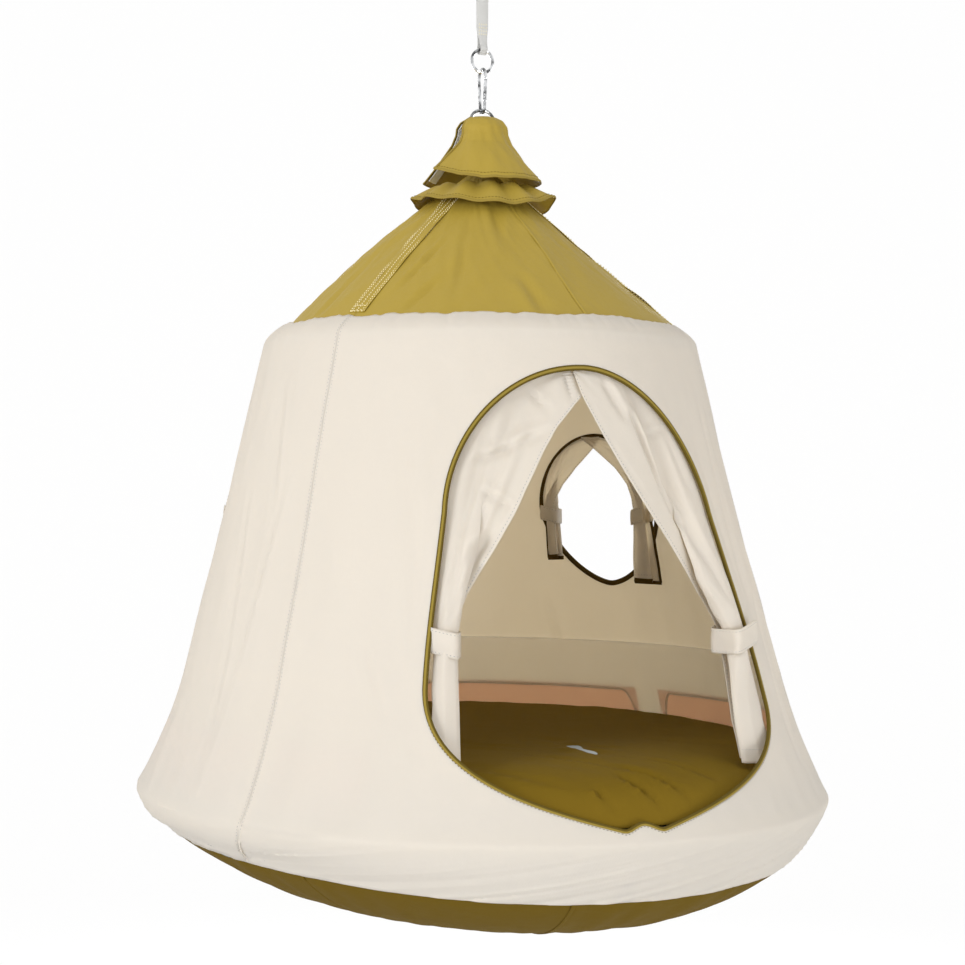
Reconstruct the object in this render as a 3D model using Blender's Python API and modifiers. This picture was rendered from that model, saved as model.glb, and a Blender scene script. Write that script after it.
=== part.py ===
"""Hanging swing tent: a cone-shaped cloth cabin on two hoops, with an air cushion for its floor.

Metres, +Z up. The row's origin is the hang point at the top of the webbing sling. The door faces -Y.
The tent itself is described from the plane of its lower hoop, and one empty lowers it into place.
Angles are measured round the vertical axis from the middle of the door, positive towards +X.
"""
import math

import bmesh
import bpy
from mathutils import Matrix, Vector

# Overall layout
HANG_HEIGHT = 1.300
CLOTH = 0.0020
GAP = 0.0004
FACET = math.radians(10.0)
SEAM_TURN = math.radians(58.5)
PANEL_COUNT = 3
GORE_COUNT = 6

# Webbing sling at the top
SLING_LENGTH = 0.1125
SLING_WIDTH = 0.020
SLING_THICKNESS = 0.0016
SLING_EYE = 0.0080
SLING_RING_EYE = 0.0067

# Rings and snap hook
UPPER_RING_RADIUS = 0.0185
UPPER_RING_WIRE = 0.0025
UPPER_RING_TOP = HANG_HEIGHT - SLING_LENGTH
HOOK_WIRE = 0.0025
HOOK_TOP_BEND = 0.0130
HOOK_FOOT_BEND = 0.0085
HOOK_LENGTH = 0.0719
GATE_RADIUS = 0.0028
GATE_PIN_RADIUS = 0.0008
GATE_PIN_HEIGHT = 0.0218
GATE_SLOT = 0.0014
TONGUE = 0.0010
LOWER_RING_RADIUS = 0.0215
LOWER_RING_WIRE = 0.0027

# Crown, where the load straps are gathered
CROWN_LOOP_WIDTH = 0.020
CROWN_LOOP_GAP = 0.0009
CROWN_PATCH_RADIUS = 0.0165
CROWN_LOOP_LENGTH = 0.0366
CROWN_PATCH_HEIGHT = 0.0095

# Cap and ruffle over the roof's point
CAP_SEAT_ANGLE = math.radians(74.0)
CAP_SHOULDER_DROP = 0.0246
CAP_SHOULDER_RADIUS = 0.0410
CAP_SHOULDER_SHARE = 0.2
CAP_DROP = 0.1046
CAP_HEM_RADIUS = 0.0930
CAP_SLIT_START = math.radians(-76.5)
CAP_SLIT_WIDTH = math.radians(45.0)
CAP_WAVE = 0.0045
TAPE_WIDTH = math.radians(15.0)
TAPE_THICKNESS = 0.0012
TAPE_INSET = 0.0028
TAPE_END = 0.995
TAPE_SHARES = (0.10, 0.92)
RUFFLE_TOP_RADIUS = 0.050
RUFFLE_CREST_RADIUS = 0.070
RUFFLE_CREST_RISE = 0.0220
RUFFLE_CREST_SHARE = 0.4
RUFFLE_HEM_RADIUS = 0.1165
RUFFLE_HEM_RISE = 0.0303
RUFFLE_WAVE = 0.0065
RUFFLE_WAVES = 8

# Load straps
STRAP_WIDTH = 0.025
STRAP_THICKNESS = 0.0015
STRAP_INSET = 0.00145
STRAP_ROOF_GAP = 0.0024
STRAP_CORE = 0.0105
STRAP_ROOF_SHARES = (0.10, 0.365, 0.67, 0.94)
STRAP_WALL_LEVELS = (0.908, 0.567)
STRAP_FLARE_LEVELS = (1.0, 0.72, 0.50, 0.333, 0.194, 0.083)

# Hoops
UPPER_HOOP_RADIUS = 0.3325
UPPER_HOOP_HEIGHT = 0.696
UPPER_TUBE = 0.009
UPPER_SPIGOT = 0.0065
UPPER_SECTIONS = 3
LOWER_HOOP_RADIUS = 0.5303
LOWER_TUBE = 0.0125
LOWER_SPIGOT = 0.0095
LOWER_SECTIONS = 4
SPIGOT_LENGTH = 0.040

# Wall cone, outer face, stretched over the two hoops
SHOULDER_EASE = 0.0015
SHOULDER_RADIUS = UPPER_HOOP_RADIUS + UPPER_TUBE + CLOTH + SHOULDER_EASE
SHOULDER = UPPER_HOOP_HEIGHT + UPPER_TUBE
WALL_TOP_LAP = 0.0285
WALL_TOP_RISE = 0.0256
WALL_TOP_RADIUS = SHOULDER_RADIUS - WALL_TOP_LAP
WALL_TOP = SHOULDER + WALL_TOP_RISE
FLARE_START = 0.18
FLARE = 0.0246
SKIRT_EASE = 0.0042
WALL_FOOT_RADIUS = LOWER_HOOP_RADIUS + LOWER_TUBE + CLOTH + SKIRT_EASE
WALL_SLOPE = (WALL_FOOT_RADIUS - FLARE - SHOULDER_RADIUS) / SHOULDER
WALL_LEVELS = (0.74, 0.48)
FLARE_LEVELS = (1.0, 0.69, 0.47, 0.29, 0.145, 0.0)
FLARE_POWER = 1.6
SKIRT_DROP = 0.0855
SKIRT_TUCK = 0.049
SKIRT_SHARES = (0.21, 0.46, 0.73, 1.0)

# Roof cone, from the wall's shoulder to its point under the crown patch
ROOF_POINT_RADIUS = 0.020
ROOF_POINT_DROP = 0.0257
ROOF_EAVE_INSET = 0.016
ROOF_EAVE_RISE = 0.0117
ROOF_EAVE_RADIUS = SHOULDER_RADIUS - ROOF_EAVE_INSET
ROOF_EAVE = SHOULDER + ROOF_EAVE_RISE

# Door opening
DOOR_HEAD = 0.055
DOOR_TOP = SHOULDER - DOOR_HEAD
DOOR_SPRING = 0.440
DOOR_HALF_ANGLE = math.radians(31.5)
DOOR_ARCH_POWER = {-1: 2.1, 1: 1.8}
DOOR_LOW_ANGLE = {-1: math.radians(33.6), 1: math.radians(37.5)}
DOOR_KNEE = {-1: 0.200, 1: 0.170}
DOOR_CORNER = 0.085
DOOR_SILL = 0.014
DOOR_DIP = 0.009
DOOR_DIP_ANGLE = math.radians(3.2)
DOOR_SILL_EASE = math.radians(15.0)
DOOR_SILL_RISE = 0.030

# Window openings
WINDOW_ANGLE = math.radians(124.0)
WINDOW_HEAD = 0.134
WINDOW_TOP = SHOULDER - WINDOW_HEAD
WINDOW_SPRING = 0.445
WINDOW_FOOT = 0.307
WINDOW_HALF_ANGLE = math.radians(16.5)
WINDOW_ARCH_POWER = 2.0
WINDOW_FOOT_POWER = 1.45

# Bound edges
BINDING = 0.0035
WINDOW_BINDING = 0.0025

# Curtains and their tie bands
CURTAIN_ROWS = 13
FOLDS = 2
DOOR_BUNDLE_DEPTH = 0.027
DOOR_BUNDLE_FRONT = 0.0105
DOOR_TIE = 0.265
DOOR_TIE_HEIGHT = 0.040
DOOR_TAIL_END = 0.100
DOOR_FREE_SHARE = 0.845
DOOR_MEET = math.radians(1.2)
MEET_GAP = math.radians(0.5)
WINDOW_BUNDLE_DEPTH = 0.019
WINDOW_BUNDLE_FRONT = 0.0095
WINDOW_TIE = 0.435
WINDOW_TIE_HEIGHT = 0.030
WINDOW_TAIL_END = 0.350
WINDOW_FREE_SHARE = 0.66
CURTAIN_TIE_SHARE = 0.68
CURTAIN_SEAM_SHARE = 0.985
CURTAIN_LAP = 0.004
CURTAIN_DROP = 0.012
TIE_THICKNESS = 0.0014
TIE_OFFSET = math.radians(2.0)
TIE_BEND = 0.004
TIE_MARGIN = 0.016

# Lining flap round the foot of the wall
LINING_INSET = 0.0054
LINING_TOP = 0.200
LINING_HEM = 0.110
LINING_TAB_END = 0.055
LINING_TAB = math.radians(6.5)
LINING_THICKNESS = 0.0015
LINING_LEVELS = (1.0, 0.56, 0.17)
NOTCH_DEPTH = 0.10
LINING_DOOR_FACETS = (1, 26)

# Floor, cushion and base bag
FLOOR_TOP = 0.087
FLOOR_LAP = 0.0032
FLOOR_RADIUS = LOWER_HOOP_RADIUS + FLOOR_LAP
FLOOR_SHARES = (0.0, 0.712, 0.843, 0.918, 0.965, 0.9916, 1.0)
FLOOR_CROWN_POWER = 12
BAG_SAG = 0.185
BAG_FLAT_RADIUS = 0.150
BAG_BELLY_POWER = 4
BAG_SHARES = (0.92, 0.80, 0.66, 0.50)
BAG_CLEARANCE = 0.0006
CUSHION_CLEARANCE = 0.0005
VALVE_RADIUS = 0.0110
VALVE_HEIGHT = 0.0060
VALVE_SEAT_RADIUS = 0.105
VALVE_ANGLE = math.radians(150.0)

COLOURS = {
    "cream": ((0.83, 0.76, 0.66), 0.85, 0.0),
    "olive": ((0.42, 0.31, 0.06), 0.80, 0.0),
    "dark_olive": ((0.14, 0.08, 0.01), 0.85, 0.0),
    "piping": ((0.27, 0.20, 0.05), 0.70, 0.0),
    "webbing": ((0.86, 0.86, 0.83), 0.80, 0.0),
    "zinc": ((0.75, 0.76, 0.78), 0.25, 1.0),
    "tube": ((0.55, 0.56, 0.57), 0.40, 0.9),
    "vinyl": ((0.22, 0.30, 0.36), 0.45, 0.0),
}


def clear_scene():
    for item in list(bpy.data.objects):
        bpy.data.objects.remove(item, do_unlink=True)


def make_material(name):
    colour, roughness, metallic = COLOURS[name]
    material = bpy.data.materials.get(name) or bpy.data.materials.new(name)
    material.use_nodes = True
    shader = material.node_tree.nodes["Principled BSDF"]
    shader.inputs["Base Color"].default_value = (*colour, 1.0)
    shader.inputs["Roughness"].default_value = roughness
    shader.inputs["Metallic"].default_value = metallic
    material.diffuse_color = (*colour, 1.0)
    return material


def collection(name):
    group = bpy.data.collections.new(name)
    bpy.context.scene.collection.children.link(group)
    return group


def polar(radius, angle, height):
    """A point at a radius from the vertical axis, turned from the middle of the door."""
    return Vector((radius * math.sin(angle), -radius * math.cos(angle), height))


class Pivot:
    """An empty on a joint's axis, or on the hoop plane for what doesn't move."""

    def __init__(self, name, point, parent=None):
        self.point = Vector(point)
        self.empty = bpy.data.objects.new(name, None)
        PARTS.objects.link(self.empty)
        self.empty.empty_display_size = 0.03
        if parent is None:
            self.empty.location = self.point - Vector((0.0, 0.0, HANG_HEIGHT))
        else:
            self.empty.parent = parent.empty
            self.empty.location = self.point - parent.point


def place(item, material, pivot, position=(0.0, 0.0, 0.0), turn=0.0):
    """Give an object its material and parent, and its place in the tent's own coordinates."""
    item.data.materials.clear()
    item.data.materials.append(make_material(material))
    item.parent = pivot.empty
    item.location = Vector(position) - pivot.point
    item.rotation_euler.z += turn
    return item


def mesh_object(name, mesh, group=None):
    item = bpy.data.objects.new(name, mesh)
    (group or PARTS).objects.link(item)
    return item


def smooth(item, sharp=40.0):
    item.data.shade_smooth()
    item.data.set_sharp_from_angle(angle=math.radians(sharp))


def solidify(item, thickness, offset, even=True):
    modifier = item.modifiers.new("thickness", 'SOLIDIFY')
    modifier.thickness = thickness
    modifier.offset = offset
    modifier.use_even_offset = even
    modifier.use_rim = True


def turned(name, profile, span=math.tau, thickness=None, group=None):
    """A profile of (radius, height) from top to bottom, turned round the vertical axis."""
    mesh = bpy.data.meshes.new(name)
    builder = bmesh.new()
    corners = [builder.verts.new((radius, 0.0, height)) for radius, height in profile]
    for first, second in zip(corners, corners[1:]):
        builder.edges.new((first, second))
    builder.to_mesh(mesh)
    builder.free()
    item = mesh_object(name, mesh, group)
    screw = item.modifiers.new("turn", 'SCREW')
    steps = max(2, round(span / FACET))
    screw.angle = span
    screw.steps = steps
    screw.render_steps = steps
    screw.use_smooth_shade = True
    screw.use_merge_vertices = span > math.tau - FACET
    screw.merge_threshold = 0.00001
    if thickness:
        solidify(item, thickness, -1.0)
    return item


def sheet(name, surface, across, along, thickness, closed=False):
    """A cloth: a grid laid on surface(u, v), with u round or across it and v from top to hem."""
    mesh = bpy.data.meshes.new(name)
    builder = bmesh.new()
    bmesh.ops.create_grid(builder, x_segments=across, y_segments=along, size=0.5)
    for vert in builder.verts:
        vert.co = surface(vert.co.x + 0.5, 0.5 - vert.co.y)
    if closed:
        bmesh.ops.remove_doubles(builder, verts=builder.verts, dist=0.00001)
    builder.to_mesh(mesh)
    builder.free()
    item = mesh_object(name, mesh)
    solidify(item, thickness, 0.0, even=False)
    smooth(item)
    return item


def strip(name, path, width, thickness):
    """A flat strap: a path of points in the YZ plane, as wide as the strap along X."""
    mesh = bpy.data.meshes.new(name)
    builder = bmesh.new()
    rows = []
    for along, height in path:
        left = builder.verts.new((-width / 2, along, height))
        right = builder.verts.new((width / 2, along, height))
        rows.append((left, right))
    for (left, right), (next_left, next_right) in zip(rows, rows[1:]):
        builder.faces.new((left, right, next_right, next_left))
    builder.to_mesh(mesh)
    builder.free()
    item = mesh_object(name, mesh)
    solidify(item, thickness, 0.0)
    return item


def tube(name, points, radius, resolution=2, cyclic=False, group=None):
    """A round bar along a list of points."""
    curve = bpy.data.curves.new(name, 'CURVE')
    curve.dimensions = '3D'
    curve.bevel_depth = radius
    curve.bevel_resolution = resolution
    curve.use_fill_caps = not cyclic
    spline = curve.splines.new('POLY')
    spline.points.add(len(points) - 1)
    for knot, point in zip(spline.points, points):
        knot.co = (*point, 1.0)
    spline.use_cyclic_u = cyclic
    item = bpy.data.objects.new(name, curve)
    (group or PARTS).objects.link(item)
    return item


def as_mesh(item):
    """A curve object turned into a mesh with welded caps, so that it can be cut or joined."""
    bpy.context.view_layer.update()
    mesh = bpy.data.meshes.new_from_object(item.evaluated_get(bpy.context.evaluated_depsgraph_get()))
    builder = bmesh.new()
    builder.from_mesh(mesh)
    bmesh.ops.remove_doubles(builder, verts=builder.verts, dist=0.00001)
    bmesh.ops.recalc_face_normals(builder, faces=builder.faces)
    builder.to_mesh(mesh)
    builder.free()
    name = item.name
    group = item.users_collection[0]
    world = item.matrix_world.copy()
    bpy.data.objects.remove(item, do_unlink=True)
    solid = mesh_object(name, mesh, group)
    solid.name = name
    solid.matrix_world = world
    return solid


def boolean(item, other, operation='DIFFERENCE'):
    """Cut or join, with the other object kept aside as a cutter in the same frame."""
    other.parent = item.parent
    other.location = item.location.copy() if item.parent else other.location
    other.hide_render = True
    other.display_type = 'WIRE'
    modifier = item.modifiers.new(other.name, 'BOOLEAN')
    modifier.operation = operation
    modifier.solver = 'EXACT'
    modifier.object = other


def arc(centre_y, centre_z, radius, start, end, steps):
    """Points in the YZ plane, at angles in degrees from +Y towards +Z."""
    points = []
    for step in range(steps + 1):
        angle = math.radians(start + (end - start) * step / steps)
        points.append((centre_y + radius * math.cos(angle), centre_z + radius * math.sin(angle)))
    return points


def wall_radius(height):
    """Outer face of the wall's cloth at a height over the lower hoop's plane."""
    if height < 0.0:
        return wall_radius(0.0) - SKIRT_TUCK * (-height / SKIRT_DROP) ** 1.5
    radius = SHOULDER_RADIUS + (SHOULDER - height) * WALL_SLOPE
    if height < FLARE_START:
        radius += FLARE * (1.0 - height / FLARE_START) ** FLARE_POWER
    return radius


def crown_patch_top():
    return crown_wire() - CROWN_LOOP_LENGTH


def roof_slope():
    """Rise over run of the roof, from its eave to its point below the crown patch."""
    point = crown_patch_top() - ROOF_POINT_DROP
    return (point - ROOF_EAVE) / (ROOF_EAVE_RADIUS - ROOF_POINT_RADIUS)


def roof_height(radius):
    """Outer face of the roof's cloth at a radius."""
    return ROOF_EAVE + (ROOF_EAVE_RADIUS - radius) * roof_slope()


def mix(first, second, share):
    return first + (second - first) * share


def ease(share):
    share = min(1.0, max(0.0, share))
    return share * share * (3.0 - 2.0 * share)


def bezier(first, second, third, fourth, share):
    rest = 1.0 - share
    weights = (rest ** 3, 3 * rest ** 2 * share, 3 * rest * share ** 2, share ** 3)
    corners = (first, second, third, fourth)
    return tuple(sum(w * c[axis] for w, c in zip(weights, corners)) for axis in (0, 1))


def quarter(half, spring, rise, power, steps):
    """A quarter of a rounded arch as (angle, height), from its crown to its spring line."""
    points = []
    for step in range(steps + 1):
        turn = math.radians(90.0) * step / steps
        points.append((half * math.sin(turn) ** (2.0 / power),
                       spring + rise * math.cos(turn) ** (2.0 / power)))
    return points


def door_side(side):
    """One side of the door's edge as (angle, height), from the top of its arch to its sill."""
    low = DOOR_LOW_ANGLE[side]
    knee = DOOR_KNEE[side]
    arch = quarter(DOOR_HALF_ANGLE, DOOR_SPRING, DOOR_TOP - DOOR_SPRING, DOOR_ARCH_POWER[side], 8)
    spring = (DOOR_HALF_ANGLE, DOOR_SPRING)
    upright = [bezier(spring, (mix(DOOR_HALF_ANGLE, low, 0.5), mix(DOOR_SPRING, knee, 0.4)),
                      (low, mix(DOOR_SPRING, knee, 0.7)), (low, knee), step / 3)
               for step in range(1, 4)]
    foot = [bezier((low, knee), (low, DOOR_CORNER), (DOOR_SILL_EASE, DOOR_SILL + DOOR_SILL_RISE),
                   (DOOR_DIP_ANGLE, DOOR_SILL), step / 7) for step in range(1, 8)]
    rise = [(DOOR_DIP_ANGLE * (1.0 - share), DOOR_SILL + DOOR_DIP * ease(share))
            for share in (0.5, 1.0)]
    return [(side * angle, height) for angle, height in arch + upright + foot + rise]


def window_side(side):
    """One side of a window's edge, from the top of its arch to its foot."""
    arch = quarter(WINDOW_HALF_ANGLE, WINDOW_SPRING, WINDOW_TOP - WINDOW_SPRING,
                   WINDOW_ARCH_POWER, 6)
    foot = quarter(WINDOW_HALF_ANGLE, WINDOW_SPRING, WINDOW_FOOT - WINDOW_SPRING,
                   WINDOW_FOOT_POWER, 6)
    return [(side * angle, height) for angle, height in arch + foot[-2::-1]]


def closed_edge(side_points):
    """A whole edge from its two sides: down the right side and up the left one."""
    right = side_points(1)
    left = side_points(-1)
    return right[:-1] + left[:0:-1]


def spread(outline, distance):
    """A flat outline of (x, z) points moved out by a distance."""
    count = len(outline)
    area = sum(outline[i][0] * outline[(i + 1) % count][1] - outline[(i + 1) % count][0] * outline[i][1]
               for i in range(count))
    side = 1.0 if area > 0.0 else -1.0
    moved = []
    for index, (x, z) in enumerate(outline):
        before = outline[index - 1]
        after = outline[(index + 1) % count]
        normals = []
        for start, end in ((before, (x, z)), ((x, z), after)):
            length = math.hypot(end[0] - start[0], end[1] - start[1])
            normals.append((side * (end[1] - start[1]) / length, side * (start[0] - end[0]) / length))
        total = (normals[0][0] + normals[1][0], normals[0][1] + normals[1][1])
        reach = 2.0 * distance / (total[0] ** 2 + total[1] ** 2)
        moved.append((x + total[0] * reach, z + total[1] * reach))
    return moved


def opening_cutter(name, edge, margin, turn):
    """A straight prism that cuts an opening's edge, and a margin round it, out of one wall."""
    flat = [(wall_radius(height) * math.sin(angle), height) for angle, height in edge]
    near = SHOULDER_RADIUS * math.cos(DOOR_LOW_ANGLE[1]) * 0.6
    mesh = bpy.data.meshes.new(name)
    builder = bmesh.new()
    ring = [builder.verts.new((x, -near, z)) for x, z in spread(flat, margin)]
    face = builder.faces.new(ring)
    grown = bmesh.ops.extrude_face_region(builder, geom=[face])
    moved = [item for item in grown["geom"] if isinstance(item, bmesh.types.BMVert)]
    bmesh.ops.translate(builder, verts=moved, vec=(0.0, near - wall_radius(0.0) * 1.2, 0.0))
    bmesh.ops.recalc_face_normals(builder, faces=builder.faces)
    bmesh.ops.transform(builder, matrix=Matrix.Rotation(turn, 4, 'Z'), verts=builder.verts)
    builder.to_mesh(mesh)
    builder.free()
    return mesh_object(name, mesh, CUTTERS)


def make_sling(pivot):
    """Doubled webbing: an eye at the hang point, two plies side by side, and an eye for the ring."""
    top = HANG_HEIGHT - SLING_EYE
    foot = UPPER_RING_TOP
    half = SLING_THICKNESS / 2
    ply = half + GAP / 2
    eye = SLING_EYE + half
    ring_eye = SLING_RING_EYE + half
    path = [(-ply, foot + 0.030)]
    path += arc(0.0, foot, ring_eye, 150.0, 390.0, 12)
    path += [(ply, foot + 0.030), (ply, top - 0.030)]
    path += arc(0.0, top, eye, -30.0, 210.0, 12)
    path += [(-ply, top - 0.030), (-ply, foot + 0.030 + GAP)]
    return place(strip("hanging_strap", path, SLING_WIDTH, SLING_THICKNESS), "webbing", pivot)


def make_ring(name, centre, radius, wire, pivot):
    bpy.ops.mesh.primitive_torus_add(major_radius=radius, minor_radius=wire,
                                     major_segments=24, minor_segments=8,
                                     rotation=(math.radians(90.0), 0.0, 0.0))
    item = bpy.context.object
    for group in item.users_collection:
        group.objects.unlink(item)
    PARTS.objects.link(item)
    item.name = name
    item.data.name = name
    smooth(item)
    return place(item, "zinc", pivot, (0.0, 0.0, centre))


def hook_levels():
    """Heights of the hook's top wire, foot wire and gate pin."""
    top = UPPER_RING_TOP - 2 * UPPER_RING_RADIUS + UPPER_RING_WIRE + HOOK_WIRE + GAP
    foot = top - HOOK_LENGTH
    return top, foot, foot + GATE_PIN_HEIGHT


def gate_line():
    """The gate's pin and the middle of its nose end, as (y, z)."""
    top, foot, pin = hook_levels()
    return (-HOOK_FOOT_BEND - 0.0010, pin), (-HOOK_TOP_BEND, top - HOOK_TOP_BEND - 0.0045)


def box(name, low, high, group=None):
    mesh = bpy.data.meshes.new(name)
    builder = bmesh.new()
    bmesh.ops.create_cube(builder, size=1.0)
    low = Vector(low)
    high = Vector(high)
    for vert in builder.verts:
        vert.co = Vector(mix(low[i], high[i], vert.co[i] + 0.5) for i in range(3))
    builder.to_mesh(mesh)
    builder.free()
    return mesh_object(name, mesh, group)


def cross_bar(name, radius, length, centre, group=None, sides=10):
    """A round bar along X."""
    mesh = bpy.data.meshes.new(name)
    builder = bmesh.new()
    bmesh.ops.create_cone(builder, cap_ends=True, segments=sides, radius1=radius, radius2=radius,
                          depth=length, matrix=Matrix.Rotation(math.radians(90.0), 4, 'Y'))
    bmesh.ops.translate(builder, verts=builder.verts, vec=(0.0, *centre))
    builder.to_mesh(mesh)
    builder.free()
    return mesh_object(name, mesh, group)


def make_hook(pivot, gate_pivot):
    """The bent wire body with its tongue, the gate, the gate's pin and its plunger."""
    top, foot, pin = hook_levels()
    (pin_y, pin_z), (nose_y, nose_z) = gate_line()
    path = [(nose_y, nose_z + 0.0004)]
    path += arc(0.0, top - HOOK_TOP_BEND, HOOK_TOP_BEND, 180.0, 0.0, 10)
    path += arc(0.0, foot + HOOK_FOOT_BEND, HOOK_FOOT_BEND, 0.0, -180.0, 8)
    path.append((pin_y, pin_z - 0.0045))
    body = as_mesh(tube("snap_hook", [(0.0, y, z) for y, z in path], HOOK_WIRE))
    tongue = box("hook_tongue", (-TONGUE, pin_y - 0.0022, pin_z - 0.0070),
                 (TONGUE, pin_y + 0.0022, pin_z + 0.0024), CUTTERS)
    place(body, "zinc", pivot)
    boolean(body, tongue, 'UNION')
    boolean(body, cross_bar("tongue_hole", GATE_PIN_RADIUS + 0.0004, 0.02, (pin_y, pin_z), CUTTERS))

    lean = Vector((0.0, nose_y - pin_y, nose_z - pin_z))
    start = Vector((0.0, pin_y, pin_z)) - lean.normalized() * 0.0026
    end = Vector((0.0, pin_y, pin_z)) + lean - lean.normalized() * GAP
    gate = as_mesh(tube("hook_gate", [start, end], GATE_RADIUS))
    place(gate, "zinc", gate_pivot)
    boolean(gate, box("gate_slot", (-GATE_SLOT, pin_y - 0.006, pin_z - 0.006),
                      (GATE_SLOT, pin_y + 0.006, pin_z + 0.0080), CUTTERS))
    boolean(gate, cross_bar("gate_hole", GATE_PIN_RADIUS + 0.0004, 0.02, (pin_y, pin_z), CUTTERS))

    pin_bar = cross_bar("gate_pin", GATE_PIN_RADIUS, 2 * GATE_RADIUS + 0.0006, (pin_y, pin_z))
    place(pin_bar, "zinc", pivot)
    spring_start = Vector((0.0, pin_y, pin_z)) + lean.normalized() * 0.0038
    spring_end = spring_start + lean.normalized() * 0.0034
    place(tube("gate_spring", [spring_start, spring_end], 0.0008, 1), "zinc", gate_pivot)


def lower_ring_top():
    """Height of the middle of the lower ring's wire where it hangs in the hook."""
    return hook_levels()[1] + HOOK_WIRE + LOWER_RING_WIRE + GAP


def crown_wire():
    """Height of the middle of the lower ring's wire where the crown loop hangs on it."""
    return lower_ring_top() - 2 * LOWER_RING_RADIUS


def make_crown(pivot):
    """The folded webbing on the lower ring and the patch that the load straps are sewn to."""
    wire = crown_wire()
    rise = LOWER_RING_RADIUS - math.sqrt(LOWER_RING_RADIUS ** 2 - (CROWN_LOOP_WIDTH / 2) ** 2)
    bend = LOWER_RING_WIRE + rise + CROWN_LOOP_GAP + SLING_THICKNESS / 2
    top = crown_patch_top()
    foot = top + GAP
    path = [(bend, foot)] + arc(0.0, wire, bend, 0.0, 180.0, 10) + [(-bend, foot)]
    place(strip("crown_loop", path, CROWN_LOOP_WIDTH, SLING_THICKNESS), "webbing", pivot)
    low = top - CROWN_PATCH_HEIGHT
    patch = turned("crown_patch", [(0.0, top), (CROWN_PATCH_RADIUS, top),
                                   (CROWN_PATCH_RADIUS, low), (0.0, low)])
    place(patch, "webbing", pivot)


def strap_path():
    """A load strap's middle line as (radius, height): crown, roof, hoop, wall and lower hoop."""
    half = STRAP_THICKNESS / 2
    rise = roof_slope()
    slope = math.hypot(1.0, rise)
    under = CLOTH + STRAP_ROOF_GAP + half
    top = crown_patch_top() - CROWN_PATCH_HEIGHT - GAP
    path = [(STRAP_CORE, top), (STRAP_CORE, top - 0.015)]
    for radius in [ROOF_EAVE_RADIUS * share for share in STRAP_ROOF_SHARES]:
        path.append((radius - under * rise / slope, roof_height(radius) - under / slope))
    hug = UPPER_TUBE + GAP + half
    for degrees in (62.0, 40.0, 20.0, 0.0):
        turn = math.radians(degrees)
        path.append((UPPER_HOOP_RADIUS + hug * math.cos(turn),
                     UPPER_HOOP_HEIGHT + hug * math.sin(turn)))
    inset = CLOTH + STRAP_INSET + half
    heights = [SHOULDER * level for level in STRAP_WALL_LEVELS]
    heights += [FLARE_START * level for level in STRAP_FLARE_LEVELS]
    for height in heights:
        path.append((wall_radius(height) - inset, height))
    hug = LOWER_TUBE / math.cos(math.radians(7.5)) + GAP * 1.5 + half
    for degrees in (0.0, -15.0, -30.0, -45.0, -60.0, -75.0, -90.0):
        turn = math.radians(degrees)
        path.append((LOWER_HOOP_RADIUS + hug * math.cos(turn), hug * math.sin(turn)))
    return path


def make_straps(pivot):
    path = strap_path()
    for index in range(PANEL_COUNT):
        turn = SEAM_TURN + math.tau * index / PANEL_COUNT
        item = strip(f"load_strap_{index + 1}", path, STRAP_WIDTH, STRAP_THICKNESS)
        place(item, "webbing", pivot, turn=turn + math.pi)


def cap_seat():
    """The cap's narrow top as (radius, height): it sits on the shoulders of the lower ring."""
    centre = (lower_ring_top() + crown_wire()) / 2
    reach = LOWER_RING_RADIUS + LOWER_RING_WIRE
    return (reach * math.sin(CAP_SEAT_ANGLE) + CLOTH / 2 + GAP,
            centre + reach * math.cos(CAP_SEAT_ANGLE))


def cap_point(share, drop, inset=0.0):
    """The cap's cloth: share goes round it from the slit, drop goes down from its top."""
    angle = CAP_SLIT_START + share * (math.tau - CAP_SLIT_WIDTH)
    wave = CAP_WAVE * drop ** 2 * math.sin(3.0 * angle + 0.6)
    top_radius, top = cap_seat()
    shoulder = top - CAP_SHOULDER_DROP
    if drop <= CAP_SHOULDER_SHARE:
        lower = drop / CAP_SHOULDER_SHARE
        radius = mix(top_radius, CAP_SHOULDER_RADIUS, lower)
        height = mix(top, shoulder, lower)
    else:
        lower = (drop - CAP_SHOULDER_SHARE) / (1.0 - CAP_SHOULDER_SHARE)
        radius = mix(CAP_SHOULDER_RADIUS, CAP_HEM_RADIUS, lower)
        height = mix(shoulder, top - CAP_DROP, lower)
    return polar(radius - inset + wave, angle, height + wave)


def make_cap(pivot):
    """The cap wraps round the hardware and closes on a strip of touch tape beside its slit."""
    cap = sheet("top_cap", cap_point, 32, 5, CLOTH)
    place(cap, "olive", pivot)
    start = 1.0 - TAPE_WIDTH / (math.tau - CAP_SLIT_WIDTH)
    low, high = TAPE_SHARES

    def tape_point(share, drop):
        return cap_point(mix(start, TAPE_END, share), mix(low, high, drop), TAPE_INSET)

    place(sheet("cap_touch_tape", tape_point, 2, 6, TAPE_THICKNESS), "webbing", pivot)


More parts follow.
